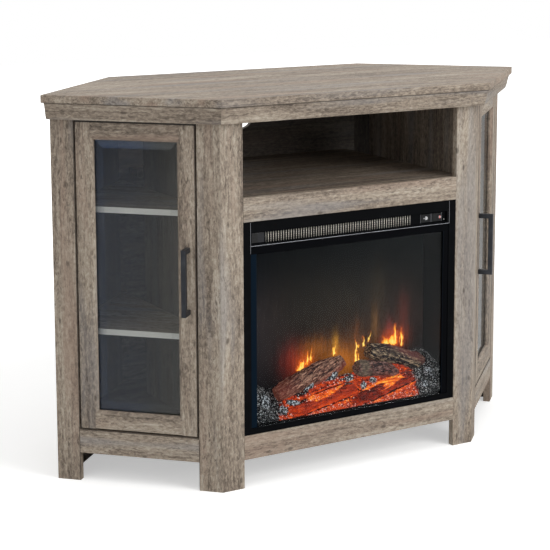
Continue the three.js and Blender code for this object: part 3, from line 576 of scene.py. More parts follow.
# Mesh helpers
def newPiece(name, mesh, finish, body="cabinet", smooth=True):
    mesh.materials.clear()
    mesh.materials.append(finish)
    if smooth:
        mesh.shade_smooth()
    piece = bpy.data.objects.new(name, mesh)
    show(piece)
    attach(piece, body)
    return piece


def meshFrom(form, name):
    mesh = bpy.data.meshes.new(name)
    form.to_mesh(mesh)
    form.free()
    return mesh


def boxesPiece(name, boxes, ease, finish, body="cabinet", turn=None):
    form = bmesh.new()
    for low, high in boxes:
        low, high = Vector(low), Vector(high)
        place = Matrix.Translation((low + high) / 2) @ Matrix.Diagonal((*(high - low), 1))
        made = bmesh.ops.create_cube(form, size=1, matrix=place)
        edges = list({edge for corner in made["verts"] for edge in corner.link_edges})
        bmesh.ops.bevel(form, geom=edges, offset=ease, segments=2, affect="EDGES", profile=0.6)
    if turn:
        form.transform(turn)
        bmesh.ops.recalc_face_normals(form, faces=form.faces)
    return newPiece(name, meshFrom(form, name), finish, body, smooth=False)


# Geometry Nodes helpers
def startGrowth(name, sizes):
    kinds, form = {tuple: "Vector", int: "Int", float: "Float"}, {"Geometry": "Geometry"}
    inputs = {label: kinds[type(value)] for label, value in sizes.items()}
    return startGroup(name, "GeometryNodeTree", {**form, **inputs}, form)


def placedOn(points, thing, turn, scale=(1.0, 1.0, 1.0)):
    inputs = {"Points": points, "Instance": thing, "Rotation": turn, "Scale": scale}
    return take(thing.tree, "GeometryNodeInstanceOnPoints", inputs)


def grow(name, geometry, sink, sizes, finish, body="cabinet", base=None, smooth=False):
    tree = geometry.tree
    real = take(tree, "GeometryNodeRealizeInstances", {0: geometry})
    inputs = {"Geometry": real, "Material": finish}
    plug(sink["Geometry"], take(tree, "GeometryNodeSetMaterial", inputs))
    base = base or bpy.data.meshes.new(name + "Seed")
    carrier = bpy.data.objects.new(name + "Seed", base)
    show(carrier)
    modifier = carrier.modifiers.new("growth", "NODES")
    modifier.node_group = tree
    for item in tree.interface.items_tree:
        if item.in_out == "INPUT" and item.name in sizes:
            modifier[item.identifier] = sizes[item.name]
    ready = carrier.evaluated_get(bpy.context.evaluated_depsgraph_get())
    mesh = bpy.data.meshes.new_from_object(ready)
    carrier.modifiers.clear()
    bpy.data.objects.remove(carrier)
    mesh.name = name
    return newPiece(name, mesh, finish, body, smooth)


# Screw heads and panel nails: a chamfered head with a round recess, on every point of the base
headSizes = {
    "screw": {"radius": 0.0028, "thick": 0.0009, "sides": 16},
    "nail": {"radius": 0.0024, "thick": 0.0005, "sides": 12},
    "crown": 0.75, "recess": 0.5,
    "cup": {"aside": 0.016, "up": 0.0175, "deep": 0.0012},
    "arm": {"along": 0.385, "up": 0.0145, "deep": 0.0024},
    "strike": {"along": (0.1115, 0.1237), "up": (0.424, 0.456), "thick": 0.001},
}
nailRows = {
    "low": (-0.29, -0.18, -0.07, 0.04, 0.13, 0.23, 0.29),
    "high": (-0.29, -0.17, -0.06, 0.06, 0.17, 0.29), "fromFoot": 0.0075, "fromHead": 0.008,
    "beside": 0.3055, "start": 0.19, "pace": 0.1, "count": 6,
}


def makeHeads(name, spots, direction, size, body="cabinet"):
    sizes = dict(headSizes[size], turn=tuple(direction.to_track_quat("Z", "Y").to_euler()))
    tree, get, sink = startGrowth(name, sizes)
    inputs = {"Vertices": get["sides"], "Radius Bottom": get["radius"], "Depth": get["thick"]}
    inputs["Radius Top"] = get["radius"] * headSizes["crown"]
    cone = take(tree, "GeometryNodeMeshCone", inputs)
    top = axes(take(tree, "GeometryNodeInputNormal"))[2] > 0.9
    inputs = {"Mesh": cone, "Selection": top, "Offset Scale": 0.0}
    rim, picked = map(Flow, add(tree, "GeometryNodeExtrudeMesh", inputs).outputs[:2])
    inputs = {"Geometry": rim, "Selection": picked, "Scale": headSizes["recess"]}
    inner = take(tree, "GeometryNodeScaleElements", inputs)
    inputs = {"Mesh": inner, "Selection": picked, "Offset Scale": get["thick"] * -0.5}
    recess = take(tree, "GeometryNodeExtrudeMesh", inputs)
    heads = placedOn(get["Geometry"], recess, get["turn"])
    base = bpy.data.meshes.new(name + "Points")
    base.from_pydata([tuple(spot) for spot in spots], [], [])
    grow(name, heads, sink, sizes, nickel, body, base)


def makeFittings(side):
    along, behind, door = alongDoor(side), behindDoor(side), side + "_door"
    cup, arm, strike = headSizes["cup"], headSizes["arm"], headSizes["strike"]
    back = reach(door + "_hinge_stile", behind)[1]
    place = reach(door + "_hinge_stile", along)[1] - cup["aside"]
    cups = [f"{side}_{level}_hinge_cup" for level in ("lower", "upper")]
    heights = [sum(reach(name, upward)) / 2 for name in cups]

    def spots(spot, depth, rise):
        ups = [height + sign * rise for height in heights for sign in (-1, 1)]
        return [along * spot + behind * depth + upward * up for up in ups]

    cupSpots = spots(place, back + cup["deep"], cup["up"])
    makeHeads(side + "_cup_screws", cupSpots, behind, "screw", door)
    rest = reach(side + "_lower_hinge_arm", behind)[0]
    armSpots = spots(arm["along"], rest + arm["deep"], arm["up"])
    makeHeads(side + "_arm_screws", armSpots, behind, "screw")
    turn = Matrix((along, behind, upward)).transposed().to_4x4()
    low = (strike["along"][0], back - 0.0001, strike["up"][0])
    high = (strike["along"][1], back + strike["thick"], strike["up"][1])
    boxesPiece(side + "_strike_plate", [(low, high)], 0.0003, nickel, door, turn)


def makeNails():
    edge = reach("back_panel", inward)[1]
    low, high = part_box("back_panel")
    spots = [(x, edge, low.z + nailRows["fromFoot"]) for x in nailRows["low"]]
    spots += [(x, edge, high.z - nailRows["fromHead"]) for x in nailRows["high"]]
    for x in (-nailRows["beside"], nailRows["beside"]):
        for step in range(nailRows["count"]):
            spots.append((x, edge, nailRows["start"] + nailRows["pace"] * step))
    makeHeads("back_nails", spots, inward, "nail")


for side in sides:
    makeFittings(side)
makeNails()
print("screw heads, strike plates and nails made")


# Vent mesh: rows of upright wires held by cross wires in a thin rim
ventSizes = {
    "uprights": {"count": 60, "radius": 0.00072, "sides": 8},
    "crosses": {"count": 6, "radius": 0.00055, "sides": 6}, "rim": 0.0009, "ease": 0.0004,
    "proud": 0.0002,
}


def makeWires(name, finish, look, start, step, length, turn):
    sizes = {"start": start, "step": step, "length": length, "turn": turn, **look}
    tree, get, sink = startGrowth(name, sizes)
    inputs = {"Count": get["count"], "Start Location": get["start"], "Offset": get["step"]}
    line = take(tree, "GeometryNodeMeshLine", inputs)
    inputs = {"Vertices": get["sides"], "Radius": get["radius"], "Depth": get["length"]}
    wire = take(tree, "GeometryNodeMeshCylinder", inputs)
    wires = placedOn(line, wire, get["turn"])
    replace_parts(grow(name, wires, sink, sizes, finish, smooth=True), "vent_grille")


def makeVent():
    low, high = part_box("vent_grille")
    (x0, y0, z0), (x1, y1, z1) = low, high
    middle, rim = (low + high) / 2, ventSizes["rim"]
    width, tall = x1 - x0 - 2 * rim, z1 - z0 - 2 * rim
    look = ventSizes["uprights"]
    start, step = (x0 + rim, middle.y, middle.z), (width / (look["count"] - 1), 0.0, 0.0)
    makeWires("vent_uprights", metals["ventWire"], look, start, step, tall, (0.0, 0.0, 0.0))
    look = ventSizes["crosses"]
    start = (middle.x, middle.y - ventSizes["proud"], z0 + rim)
    step, turn = (0.0, 0.0, tall / (look["count"] - 1)), (0.0, math.radians(90), 0.0)
    makeWires("vent_crosses", blackCoat, look, start, step, width, turn)
    bars = [
        ((x0, y0, z1 - rim), (x1, y1, z1)),
        ((x0, y0, z0), (x1, y1, z0 + rim)),
        ((x0, y0, z0 + rim), (x0 + rim, y1, z1 - rim)),
        ((x1 - rim, y0, z0 + rim), (x1, y1, z1 - rim)),
    ]
    border = boxesPiece("vent_rim", bars, ventSizes["ease"], blackCoat)
    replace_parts(border, "vent_grille")


makeVent()
print("vent mesh made")


# Bright trim lines on the fire's front: one at each side and one below the vent
trim = {
    "half": 0.247, "wide": 0.0009, "proud": 0.0007, "bury": 0.0001, "ease": 0.0002,
    "head": 0.5555, "feet": (0.4915, 0.5068), "line": 0.5068,
}


def makeTrim():
    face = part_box("fire_frame")[0].y
    front, back, half = face - trim["proud"], face + trim["bury"], trim["wide"] / 2
    boxes = []
    for x, foot in zip((-trim["half"], trim["half"]), trim["feet"]):
        boxes.append(((x - half, front, foot), (x + half, back, trim["head"])))
    low, high = trim["line"] - half, trim["line"] + half
    boxes.append(((-trim["half"], front, low), (trim["half"], back, high)))
    boxesPiece("bright_trim", boxes, trim["ease"], metals["brightTrim"])


makeTrim()
print("trim made")


# Flame picture on the screen: tongues with bright cores over soft colored haze
flameLook = {
    "ground": "#0d0e0f", "screen": "#0d1011", "screenLow": "#140f0c", "screenLeft": "#0c151f",
    "stops": (
        (0.0, (0.0, 0.0, 0.0)), (0.16, (0.06, 0.01, 0.003)), (0.38, (0.4, 0.07, 0.006)),
        (0.55, (0.75, 0.26, 0.012)), (0.72, (0.95, 0.52, 0.04)), (1.0, (1.0, 0.8, 0.2)),
    ),
}
# Tongues: place across and up, width, height and lean
tongues = (
    (-0.066, 0.196, 0.011, 0.024, 0.6),
    (-0.058, 0.203, 0.003, 0.02, 0.6),
    (-0.046, 0.208, 0.005, 0.03, 0.9),
    (-0.038, 0.212, 0.0035, 0.038, 0.3),
    (0.021, 0.219, 0.0075, 0.02, 0.2),
    (0.024, 0.22, 0.0022, 0.036, -0.4),
    (0.077, 0.192, 0.0036, 0.062, 0.5),
    (0.0815, 0.226, 0.0048, 0.024, -0.7),
    (0.087, 0.192, 0.0036, 0.024, -0.9),
    (0.1, 0.228, 0.0042, 0.024, -0.8),
    (0.112, 0.236, 0.0028, 0.03, 1.4),
    (0.16, 0.22, 0.017, 0.024, -0.7),
    (0.175, 0.219, 0.014, 0.032, 0.4),
    (0.183, 0.222, 0.0065, 0.052, 0.1),
    (0.199, 0.215, 0.0048, 0.048, 0.5),
)
# Hazes: place across and up, width, height, color and level
hazes = (
    (-0.083, 0.218, 0.028, 0.036, "#7a2014", 0.8),
    (-0.052, 0.206, 0.022, 0.022, "#c4500f", 0.9),
    (-0.028, 0.238, 0.034, 0.022, "#8a4c12", 0.75),
    (0.025, 0.243, 0.008, 0.022, "#a8741c", 0.8),
    (0.045, 0.2, 0.05, 0.034, "#a85c14", 1.0),
    (0.08, 0.262, 0.007, 0.022, "#5c3014", 0.7),
    (0.128, 0.27, 0.009, 0.04, "#5c3c18", 0.8),
    (0.08, 0.24, 0.09, 0.05, "#3c2416", 0.9),
    (0.137, 0.345, 0.018, 0.055, "#2c2214", 0.5),
    (0.178, 0.232, 0.026, 0.02, "#d04a10", 1.0),
    (0.166, 0.262, 0.01, 0.018, "#5c1c20", 0.8),
    (0.205, 0.28, 0.012, 0.045, "#501c14", 0.8),
    (0.03, 0.32, 0.2, 0.085, "#2b241d", 0.8),
    (-0.16, 0.28, 0.07, 0.1, "#221a1a", 0.9),
    (0.2, 0.27, 0.06, 0.07, "#2a1714", 0.8),
)


def makeTongueGroup():
    inputs = dict.fromkeys(("Across", "Up", "Wide", "Tall", "Lean"), "Float")
    group, get, sink = startGroup("flameTongue", "ShaderNodeTree", inputs, {"Heat": "Float"})
    rise = get["Up"] / get["Tall"]
    waver = calc("SINE", scaled(rise, 4.5, get["Wide"] * 900.0))
    across = get["Across"] / get["Wide"] + scaled(waver, 0.6, get["Lean"]) * rise
    narrow = highest(1.08 - rise, 0.05)
    ratio = across / calc("POWER", narrow, 0.75)
    fall = calc("EXPONENT", ratio * ratio * -1.5)
    plug(sink["Heat"], fall * between(rise, -0.15, 0.05) * between(rise, 1.1, 0.2))
    return group


def makeFlames():
    finish, shader, place = startFinish("flameScreen")
    group = makeTongueGroup()
    x, _, z = axes(place)
    across = x + (speckle(stretched(place, (1, 1, 0.35)), 120, 3) - 0.5) * 0.02
    up = swing(z, speckle(stretched(place, (1, 1, 0.6)), 170), 0.022)
    streak = speckle(stretched(place, (150, 1, 16)), 1.0, 3)
    color, ragged = flameLook["ground"], scaled(streak, 1.5, 0.25)
    for atX, atZ, wide, tall, tint, level in hazes:
        aside, above = (across - atX) / wide, (up - atZ) / tall
        fall = calc("EXPONENT", scaled(aside, aside, above * above) * -1.0)
        color = mixColor(fall * level * ragged, color, tint, "ADD")
    heats = []
    for atX, atZ, wide, tall, lean in tongues:
        inputs = {"Across": across - atX, "Up": up - atZ, "Wide": wide, "Tall": tall}
        inputs["Lean"] = -lean
        heats.append(take(place.tree, "ShaderNodeGroup", inputs, node_tree=group))
    heat = calc("MULTIPLY", reduce(highest, heats), scaled(streak, 1.5, 0.3), clamp=True)
    color = mixColor(1.0, color, ramp(heat, flameLook["stops"]), "ADD")
    high, left = between(up, 0.2, 0.5), between(x, -0.1, -0.23)
    coats = (high, flameLook["screen"]), (left, flameLook["screenLeft"])
    screen = over(flameLook["screenLow"], *coats)
    paint(shader, color=screen, rough=0.3, specular=0.05, glow=color, strength=1.25)
    dress(finish, "flame_screen")


makeFlames()
print("flame screen dressed")


# Log set: finer copies of the solids, with bark, ash and granules
def finerCopy(node, cuts):
    form = bmesh.new()
    form.from_mesh(nodes[node].data)
    bmesh.ops.remove_doubles(form, verts=form.verts, dist=0.00001)
    flat = math.radians(1)
    bmesh.ops.dissolve_limit(form, angle_limit=flat, verts=form.verts, edges=form.edges)
    bmesh.ops.triangulate(form, faces=form.faces)
    for _ in range(cuts):
        bmesh.ops.subdivide_edges(form, edges=form.edges, cuts=1, use_grid_fill=True, smooth=0.0)
        bmesh.ops.triangulate(form, faces=form.faces)
    form.normal_update()
    return form


def mainAxis(form):
    middle = sum((v.co for v in form.verts), Vector()) / len(form.verts)
    far = max(form.verts, key=lambda v: (v.co - middle).length).co
    return middle, (far - middle).normalized()


# Painted ember light, red on one side of a log: color, whether it is above, 1, or below, -1, and
# where it starts and is full.
# Swell: of the near end, the middle and the far end
barkLook = {
    "left_log": {
        "stops": ((0.52, "#2a120f"), (0.72, "#794234"), (0.98, "#cd987e")),
        "emberLitSide": ("#9c4434", -1, 0.02, 0.09), "tone": 0.0, "swell": (0.0, 0.0034, 0.0),
        "seed": 3,
    },
    "center_log": {
        "stops": ((0.52, "#180f10"), (0.72, "#7c443b"), (0.98, "#a67c70")),
        "emberLitSide": ("#9c4434", -1, 0.9, 0.95), "tip": (0.022, 0.032, "#8f7763"), "tone": -0.06,
        "swell": (0.003, 0.005, 0.0065), "seed": 7,
    },
    "right_log": {
        "stops": ((0.52, "#110d0f"), (0.72, "#4a3130"), (0.98, "#d0b08c")),
        "emberLitSide": ("#94504a", 1, 0.9, 0.95), "tone": -0.09, "swell": (0.0, 0.001, 0.0),
        "seed": 11,
    },
}
barkRelief = {"sunk": 0.0006, "ridges": 0.0036, "pits": 0.0013, "bump": 0.0012}


def barkFinish(name, look, middle, along):
    finish, shader, place = startFinish("bark_" + name)
    turn = along.to_track_quat("X", "Z").inverted().to_euler()
    centred = vectorCalc("SUBTRACT", place, tuple(middle))
    inputs = {"Vector": centred, "Rotation": tuple(turn)}
    turned = take(place.tree, "ShaderNodeMapping", inputs)
    lengthwise, _, height = axes(turned)
    push = (speckle(turned, 70, 3) - 0.5) * 0.008
    bent = vectorCalc("ADD", turned, combined(push, push, push))
    plates = cells(stretched(bent, (55, 190, 190)), feature="DISTANCE_TO_EDGE")
    crack = between(plates, 0.2, 0.04)
    grain = layer(turned, (110, 330, 330), 1.0)
    patch = layer(turned, (35, 70, 70), 1.0)
    ridge = layer(bent, (15, 235, 235), 1.0)
    tone = scaled(grain, 1.3, scaled(patch, 0.5, look["tone"] - 1.1))
    color = ramp(scaled(ridge, 2.0, tone), look["stops"])
    if "tip" in look:
        start, full, pale = look["tip"]
        share = between(lengthwise, start, full) * between(patch, 0.62, 0.4)
        color = mixColor(share, color, pale)
    red, above, start, full = look["emberLitSide"]
    side = highest(between(lengthwise, start, full), between(height * above, 0.006, 0.018))
    color = over(color, (crack * 0.6, look["stops"][0][1]), (side * 0.5, red))
    # Painted light: the bark glows faintly in its own colour
    paint(shader, color=color, rough=0.75, glow=color, strength=0.3)
    bumped(shader, grain * 0.6 - crack, 0.7, barkRelief["bump"])
    return finish


def makeLog(node, look):
    form = finerCopy(node, 3)
    middle, along = mainAxis(form)
    half = max(abs((vert.co - middle).dot(along)) for vert in form.verts)
    near, mid, far = look["swell"]
    shift = Vector((look["seed"],) * 3)
    for vert in form.verts:
        span = (vert.co - middle).dot(along)
        out = vert.co - middle - along * span
        if out.length < 0.001:
            continue
        way = out.normalized()
        probe = Vector((span * 30, way.x * 3.2, way.z * 3.2)) + shift
        ridges = abs(noise(probe * 1.6)) * 1.4 + 0.5 * abs(noise(probe * 4.1))
        pits = barkRelief["pits"] * noise(vert.co * 260 + shift)
        cut = barkRelief["ridges"] * (0.75 - min(ridges, 0.75))
        share = span / half
        swell = mid * (1 - share * share) + (far if share > 0 else near) * share * share
        vert.co += way * (swell - barkRelief["sunk"] - cut - pits)
    mesh = meshFrom(form, node + "Bark")
    piece = newPiece(node + "_bark", mesh, barkFinish(node, look, middle, along))
    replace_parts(piece, node)


for name, look in barkLook.items():
    makeLog(name, look)
print("logs made")


# Ember bed: charcoal heaps at the ends, glowing branches and coals between
# Branches: both ends, radius and, where one glows, its heat
branches = (
    ((-0.122, -0.203, 0.1363), (0.036, -0.1841, 0.1578), 0.014, 0.5),
    ((0.033, -0.2026, 0.1351), (0.1861, -0.1781, 0.1622), 0.014, 0.38),
    ((-0.1151, -0.1925, 0.159), (0.036, -0.1742, 0.1782), 0.012, None),
)
emberLook = {
    "left": (-0.17, 0.75), "right": (0.184, 0.35), "back": 0.213, "soft": 0.009,
    "front": -0.2045, "coal": "#121215", "ash": "#958d8a", "white": "#e9e8ea",
    "stops": (
        (0.05, "#140b0b"), (0.28, "#5c1a14"), (0.5, "#9c2f18"), (0.72, "#d24917"),
        (0.88, "#f97b22"), (1.0, "#ffb347"),
    ),
}
black = "#000000"


def fromBranch(spot, start, end):
    start, end = Vector(start), Vector(end)
    share = (spot - start).dot(end - start) / (end - start).length_squared
    return spot - start.lerp(end, max(0.0, min(1.0, share)))


def branchGap(place, start, end, radius, _):
    apart, along = vectorCalc("SUBTRACT", place, start), Vector(end) - Vector(start)
    share = calc("DIVIDE", reachAlong(apart, along), along.length_squared, clamp=True)
    inputs = {0: tuple(along), "Scale": share}
    onLine = take(place.tree, "ShaderNodeVectorMath", inputs, operation="SCALE")
    away = vectorCalc("SUBTRACT", apart, onLine)
    return vectorCalc("LENGTH", away, output="Value") - radius


def emberFinish():
    finish, shader, place = startFinish("emberBed")
    gap = lowest(branchGap(place, *branches[0]), branchGap(place, *branches[1]))
    gap = gap + (speckle(place, 110) - 0.5) * 0.004
    # Painted shade: a dark outline in the crevice around each hot branch
    outline = between(gap, 0.0015, 0.003) * between(gap, 0.0065, 0.0045)
    onBranch = between(gap, 0.004, 0.0015)
    grit, grain = speckle(place, 340, 2, 0.7), speckle(place, 150)
    veins = layer(place, (42, 210, 210), 1.0, 2, 0.65, 0.4)
    ash, white = between(grit, 0.54, 0.62), between(grit, 0.62, 0.7)
    coal = over(emberLook["coal"], (ash, emberLook["ash"]), (white, emberLook["white"]))
    spark = swing(stored(place, "warmth"), grain, scaled(onBranch, -0.8, 1.1))
    spark = swing(spark, veins, scaled(onBranch, 0.15, 0.7))
    spark = scaled(outline, -0.5, spark)
    warm = ramp(spark, emberLook["stops"])
    heap = between(swing(stored(place, "heap"), grit, 1.6), 0.35, 0.65)
    color = mixColor(heap, mixColor(0.7, warm, black), coal)
    glow = mixColor(between(spark, 0.02, 0.5) * (1.0 - heap), black, warm)
    paint(shader, color=color, rough=0.65, specular=0.15, glow=glow, strength=1.3)
    bumped(shader, grit + veins, 0.6, 0.001)
    return finish


def makeEmberBed():
    form = finerCopy("ember_bed", 2)
    low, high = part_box("ember_bed")
    names = ("warmth", "heap", "grain")
    warmth, heaped, grained = (form.verts.layers.float.new(name) for name in names)
    (leftEdge, leftSlope), (rightEdge, rightSlope) = emberLook["left"], emberLook["right"]
    for vert in form.verts:
        x, y, z = vert.co
        inside = low.y + 0.001 < y < high.y - 0.001 and z > low.z + 0.002
        lumpy = noise(vert.co * 90) + 0.5 * noise(vert.co * 210)
        wander = 0.012 * noise(vert.co * 40) + 0.006 * noise(vert.co * 130)
        depth = y + emberLook["back"]
        pastLeft, pastRight = leftEdge + leftSlope * depth - x, x - rightEdge - rightSlope * depth
        past = max(pastLeft, pastRight) + wander
        heap = max(0.0, min(1.0, 0.5 + past / emberLook["soft"]))
        heat, grain = (0.6, 0.6) if y < emberLook["front"] else (0.5, 0.12)
        hotGap = 1.0
        for start, end, radius, hot in branches:
            away = fromBranch(vert.co, start, end)
            if hot:
                hotGap = min(hotGap, away.length - radius)
            if away.length < radius + 0.0015:
                heat, grain = (hot - 6 * away.z, 0.015) if hot else (0.16, 0.5)
        if 0.0015 <= hotGap < 0.014:
            heat = max(heat, 0.9 - 30 * hotGap)
        vert[warmth] = max(0.0, min(1.0, (heat + 0.05 * lumpy) * (1 - 0.4 * heap)))
        vert[heaped] = heap
        vert[grained] = max(grain, heap * 0.95) if inside and vert.normal.z > 0.1 else 0.0
        if inside and vert.normal.z > -0.2:
            vert.co.z -= 0.0012 + 0.0016 * (1 - min(1, max(-1, lumpy)))
    mesh = meshFrom(form, "emberBedFine")
    piece = newPiece("ember_bed_fine", mesh, emberFinish())
    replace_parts(piece, "ember_bed")
    return piece


emberBed = makeEmberBed()
print("ember bed made")


# Granules: small angular bits scattered over the heaps and the front of the bed
granuleSizes = {
    "density": 190000.0, "radius": 0.00145, "smallest": 0.55, "largest": 1.5, "seed": 5,
}
granuleLook = {
    "cold": (
        (0.0, "#060608"), (0.55, "#17171a"), (0.66, "#69625f"), (0.82, "#cfc8c5"),
        (1.0, "#ffffff"),
    ),
    "warm": (
        (0.0, "#2a1010"), (0.35, "#8c2d1a"), (0.6, "#d9562e"), (0.8, "#d8a294"),
        (1.0, "#f0dcd6"),
    ),
    "turn": (6.28, 6.28, 6.28), "flat": 0.7,
}


def granuleFinish():
    finish, shader, place = startFinish("granules")
    tone = swing(stored(place, "shade"), speckle(place, 900), 0.3)
    cold, warm = ramp(tone, granuleLook["cold"]), ramp(tone, granuleLook["warm"])
    cool = highest(stored(place, "heap"), between(stored(place, "warmth"), 0.3, 0.18))
    # Hot granules glow with the embers; cold ones glow faintly in their own colour, painted light
    glow = mixColor(cool, warm, mixColor(0.82, cold, black))
    paint(shader, color=mixColor(cool, warm, cold), rough=0.6, glow=glow, strength=0.55)
    return finish


def makeGranules():
    tree, get, sink = startGrowth("granules", granuleSizes)
    seed = get["seed"]
    grain = {"Name": "grain"}
    share = take(tree, "GeometryNodeInputNamedAttribute", grain, data_type="FLOAT")
    inputs = {"Mesh": get["Geometry"], "Seed": seed, "Density": share * get["density"]}
    spots = take(tree, "GeometryNodeDistributePointsOnFaces", inputs)
    bit = take(tree, "GeometryNodeMeshIcoSphere", {"Radius": get["radius"], "Subdivisions": 1})

    # The random node takes a vector's range at 0 and 1, a number's at 2 and 3, the seed at 8
    chance = "FunctionNodeRandomValue"
    inputs = {0: (0.0, 0.0, 0.0), 1: granuleLook["turn"], 8: seed}
    turn = take(tree, chance, inputs, data_type="FLOAT_VECTOR")
    inputs = {2: get["smallest"], 3: get["largest"], 8: seed}
    wide = take(tree, chance, inputs, 1, data_type="FLOAT")
    inputs = {2: 0.0, 3: 1.0, 8: seed + 3.0}
    shade = take(tree, chance, inputs, 1, data_type="FLOAT")

    flat = wide * granuleLook["flat"]
    bits = placedOn(spots, bit, turn, combined(wide, flat, flat))
    inputs = {"Geometry": bits, "Name": "shade", "Value": shade}
    kind = {"data_type": "FLOAT", "domain": "INSTANCE"}
    marked = take(tree, "GeometryNodeStoreNamedAttribute", inputs, **kind)
    finish, base = granuleFinish(), emberBed.data.copy()
    piece = grow("granules", marked, sink, granuleSizes, finish, base=base)
    print("granules:", len(piece.data.polygons))


makeGranules()


# Larger charcoal lumps with silvery ash on them: middle, half sizes and lean in degrees
lumps = (
    ((-0.083, -0.19, 0.1785), (0.0155, 0.008, 0.0065), -18),
    ((-0.022, -0.184, 0.191), (0.0175, 0.009, 0.0105), -28),
    ((-0.132, -0.2075, 0.1545), (0.0175, 0.007, 0.006), 16),
    ((0.02, -0.186, 0.1785), (0.011, 0.006, 0.007), -15),
    ((0.083, -0.186, 0.166), (0.009, 0.006, 0.0065), 8),
    ((0.052, -0.196, 0.1615), (0.006, 0.005, 0.009), 12),
    ((-0.155, -0.205, 0.139), (0.011, 0.008, 0.011), 0),
    ((0.222, -0.197, 0.169), (0.011, 0.007, 0.009), 24),
    ((0.235, -0.198, 0.152), (0.009, 0.007, 0.01), -10),
    ((0.205, -0.2045, 0.143), (0.012, 0.008, 0.008), 12),
    ((-0.225, -0.2, 0.178), (0.014, 0.009, 0.012), 10),
    ((-0.196, -0.203, 0.165), (0.012, 0.008, 0.015), -14),
)
charcoalLook = {"dark": "#0a0a0c", "gray": "#2d2a2e", "silver": "#f2f2f5"}


def charcoalFinish():
    finish, shader, place = startFinish("charcoal")
    grit = speckle(place, 520, 3, 0.75)
    flake = between(cells(place, 170.0, "DISTANCE_TO_EDGE"), 0.22, 0.08)
    silver = flake * between(speckle(place, 240), 0.45, 0.58)
    gray = (between(grit, 0.42, 0.66), charcoalLook["gray"])
    color = over(charcoalLook["dark"], gray, (silver, charcoalLook["silver"]))
    # Painted light: the lumps glow faintly in their own colour
    paint(shader, color=color, rough=0.55, glow=color, strength=0.25)
    bumped(shader, grit, 0.7, 0.001)
    return finish


def makeLumps():
    form = bmesh.new()
    for index, (middle, half, lean) in enumerate(lumps):
        made = bmesh.ops.create_icosphere(form, subdivisions=4, radius=1.0)
        turn = Matrix.Rotation(math.radians(lean), 3, "Y")
        shift = Vector((index * 3.1, index * 1.7, 0.4))
        for vert in made["verts"]:
            broad = 0.42 * noise(vert.co * 1.7 + shift)
            swell = 0.92 + broad + 0.3 * noise(vert.co * 4.2 + shift)
            vert.co = turn @ (vert.co * Vector(half)) * swell + Vector(middle)
    newPiece("charcoal_lumps", meshFrom(form, "charcoalLumps"), charcoalFinish())


makeLumps()
print("charcoal lumps made")


# Rocker switches: glossy black, a small white mark on one and a red tell-tale on the other.
# Marks: place across and up, radius, color, and where a half disc starts
rockerMarks = {
    "heat_switch": (
        (0.1835, 0.522, 0.0011, "#f2f2f2"),
        (0.1885, 0.5222, 0.0042, "#c2c2c4", 0.1868),
    ),
    "power_switch": (
        (0.2238, 0.5222, 0.0034, "#8f8b8c"),
        (0.2238, 0.5238, 0.0014, "#d8402f"),
        (0.2238, 0.5204, 0.0014, "#d8402f"),
        (0.2245, 0.5221, 0.001, "#ffffff"),
    ),
}
rockerLook = {"color": "#0a0b0d", "dust": "#1c1d21", "soft": 0.85}


def rockerFinish(name):
    finish, shader, place = startFinish("rocker_" + name)
    dust = speckle(place, 600)
    x, _, z = axes(place)
    color = mixColor(dust * 0.2, rockerLook["color"], rockerLook["dust"])
    for atX, atZ, radius, tint, *start in rockerMarks[name]:
        aside, above = x - atX, z - atZ
        away = calc("SQRT", scaled(aside, aside, above * above))
        share = between(away, radius, radius * rockerLook["soft"])
        if start:
            share = share * (x > start[0])
        color = mixColor(share, color, tint)
    paint(shader, color=color, rough=scaled(dust, 0.1, 0.24), specular=0.25)
    return finish


for name in rockerMarks:
    dress(rockerFinish(name), name)


# Receiver window, thin bezels beside the rockers and one screw head in the slot
slotSizes = {
    "floor": -0.2296, "foot": 0.5115, "head": 0.5325, "lens": (-0.2421, -0.2108),
    "bezels": (0.1745, 0.2012, 0.2032, 0.2298), "bezelWide": 0.0006, "screw": (0.2365, 0.5155),
    "screwHalf": (0.0014, 0.0008, 0.0014),
}
lensLook = {"dark": "#030304", "pale": "#15161b", "dust": "#3a3b40"}


def lensFinish():
    finish, shader, place = startFinish("receiverLens")
    dust = speckle(place, 500, 2, 0.5)
    right = between(reachAlong(place, rightward), -0.2285, -0.2265)
    color = over(lensLook["dark"], (right, lensLook["pale"]), (dust * 0.1, lensLook["dust"]))
    paint(shader, color=color, rough=scaled(dust, 0.1, 0.1), specular=0.3)
    return finish


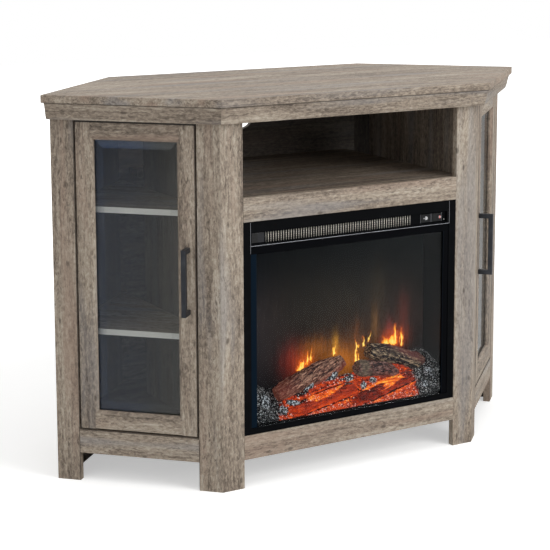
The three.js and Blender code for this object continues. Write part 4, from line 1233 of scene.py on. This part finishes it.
def makeSlotParts():
    floor, foot, head = slotSizes["floor"], slotSizes["foot"], slotSizes["head"]
    left, right = slotSizes["lens"]
    lens = [((left, floor + 0.0001, foot + 0.0004), (right, floor + 0.0012, head - 0.0004))]
    boxesPiece("receiver_lens", lens, 0.0003, lensFinish())
    half, lines = slotSizes["bezelWide"] / 2, []
    for x in slotSizes["bezels"]:
        low = (x - half, floor - 0.0006, foot + 0.001)
        lines.append((low, (x + half, floor + 0.0001, head - 0.001)))
    boxesPiece("switch_bezels", lines, 0.00015, metals["brightTrim"])
    form = bmesh.new()
    x, z = slotSizes["screw"]
    stretch = Matrix.Diagonal((*slotSizes["screwHalf"], 1))
    place = Matrix.Translation((x, floor - 0.0002, z)) @ stretch
    bmesh.ops.create_icosphere(form, subdivisions=3, radius=1.0, matrix=place)
    newPiece("slot_screw", meshFrom(form, "slotScrew"), nickel)


makeSlotParts()
print("switches and slot parts made")


# Studio: pale floor, soft lamps and a white surround
studio = {"floor": "#f4f4f3", "floorHalf": 9, "ambient": 0.42, "aim": (0, 0, 0.4)}
# Lamps: place, size and power
lamps = {
    "key": ((1.8, -3.6, 2.4), 2.4, 93),
    "fill": ((-3.4, -2.2, 2.2), 2.8, 18),
    "top": ((0.0, -0.4, 3.4), 3.0, 32),
}


def seenBy(tree, *kinds):
    seen = add(tree, "ShaderNodeLightPath").outputs
    return reduce(highest, (Flow(seen[f"Is {kind} Ray"]) for kind in kinds))


def makeFloor():
    form = bmesh.new()
    bmesh.ops.create_grid(form, x_segments=1, y_segments=1, size=studio["floorHalf"])
    mesh = meshFrom(form, "studioFloor")
    floor = bpy.data.objects.new("studioFloor", mesh)
    show(floor)
    finish, shader, place = startFinish("studioFloor")
    direct = seenBy(finish.node_tree, "Camera", "Transmission")
    away = vectorCalc("LENGTH", place, output="Value")
    level = scaled(between(away, 0.9, 1.9), 0.7, 0.45)
    paint(shader, color=studio["floor"], rough=0.8, specular=0.0)
    paint(shader, glow="#ffffff", strength=direct * level)
    mesh.materials.append(finish)


def makeSurround():
    world = bpy.data.worlds.new("studioWorld")
    scene.world = world
    world.use_nodes = True
    seen = seenBy(world.node_tree, "Camera", "Transmission", "Glossy")
    level = scaled(seen, 1.0 - studio["ambient"], studio["ambient"])
    background = world.node_tree.nodes["Background"]
    plug(background.inputs["Color"], "#ffffff")
    plug(background.inputs["Strength"], level)


makeFloor()
for name, (place, size, power) in lamps.items():
    data = bpy.data.lights.new(name + "Lamp", "AREA")
    data.shape = "SQUARE"
    data.size, data.energy = size, power
    lamp = bpy.data.objects.new(name + "Lamp", data)
    lamp.location = place
    aim = Vector(studio["aim"]) - Vector(place)
    lamp.rotation_euler = aim.to_track_quat("-Z", "Y").to_euler()
    show(lamp)
makeSurround()
scene.view_settings.view_transform = "Standard"
print("studio set")
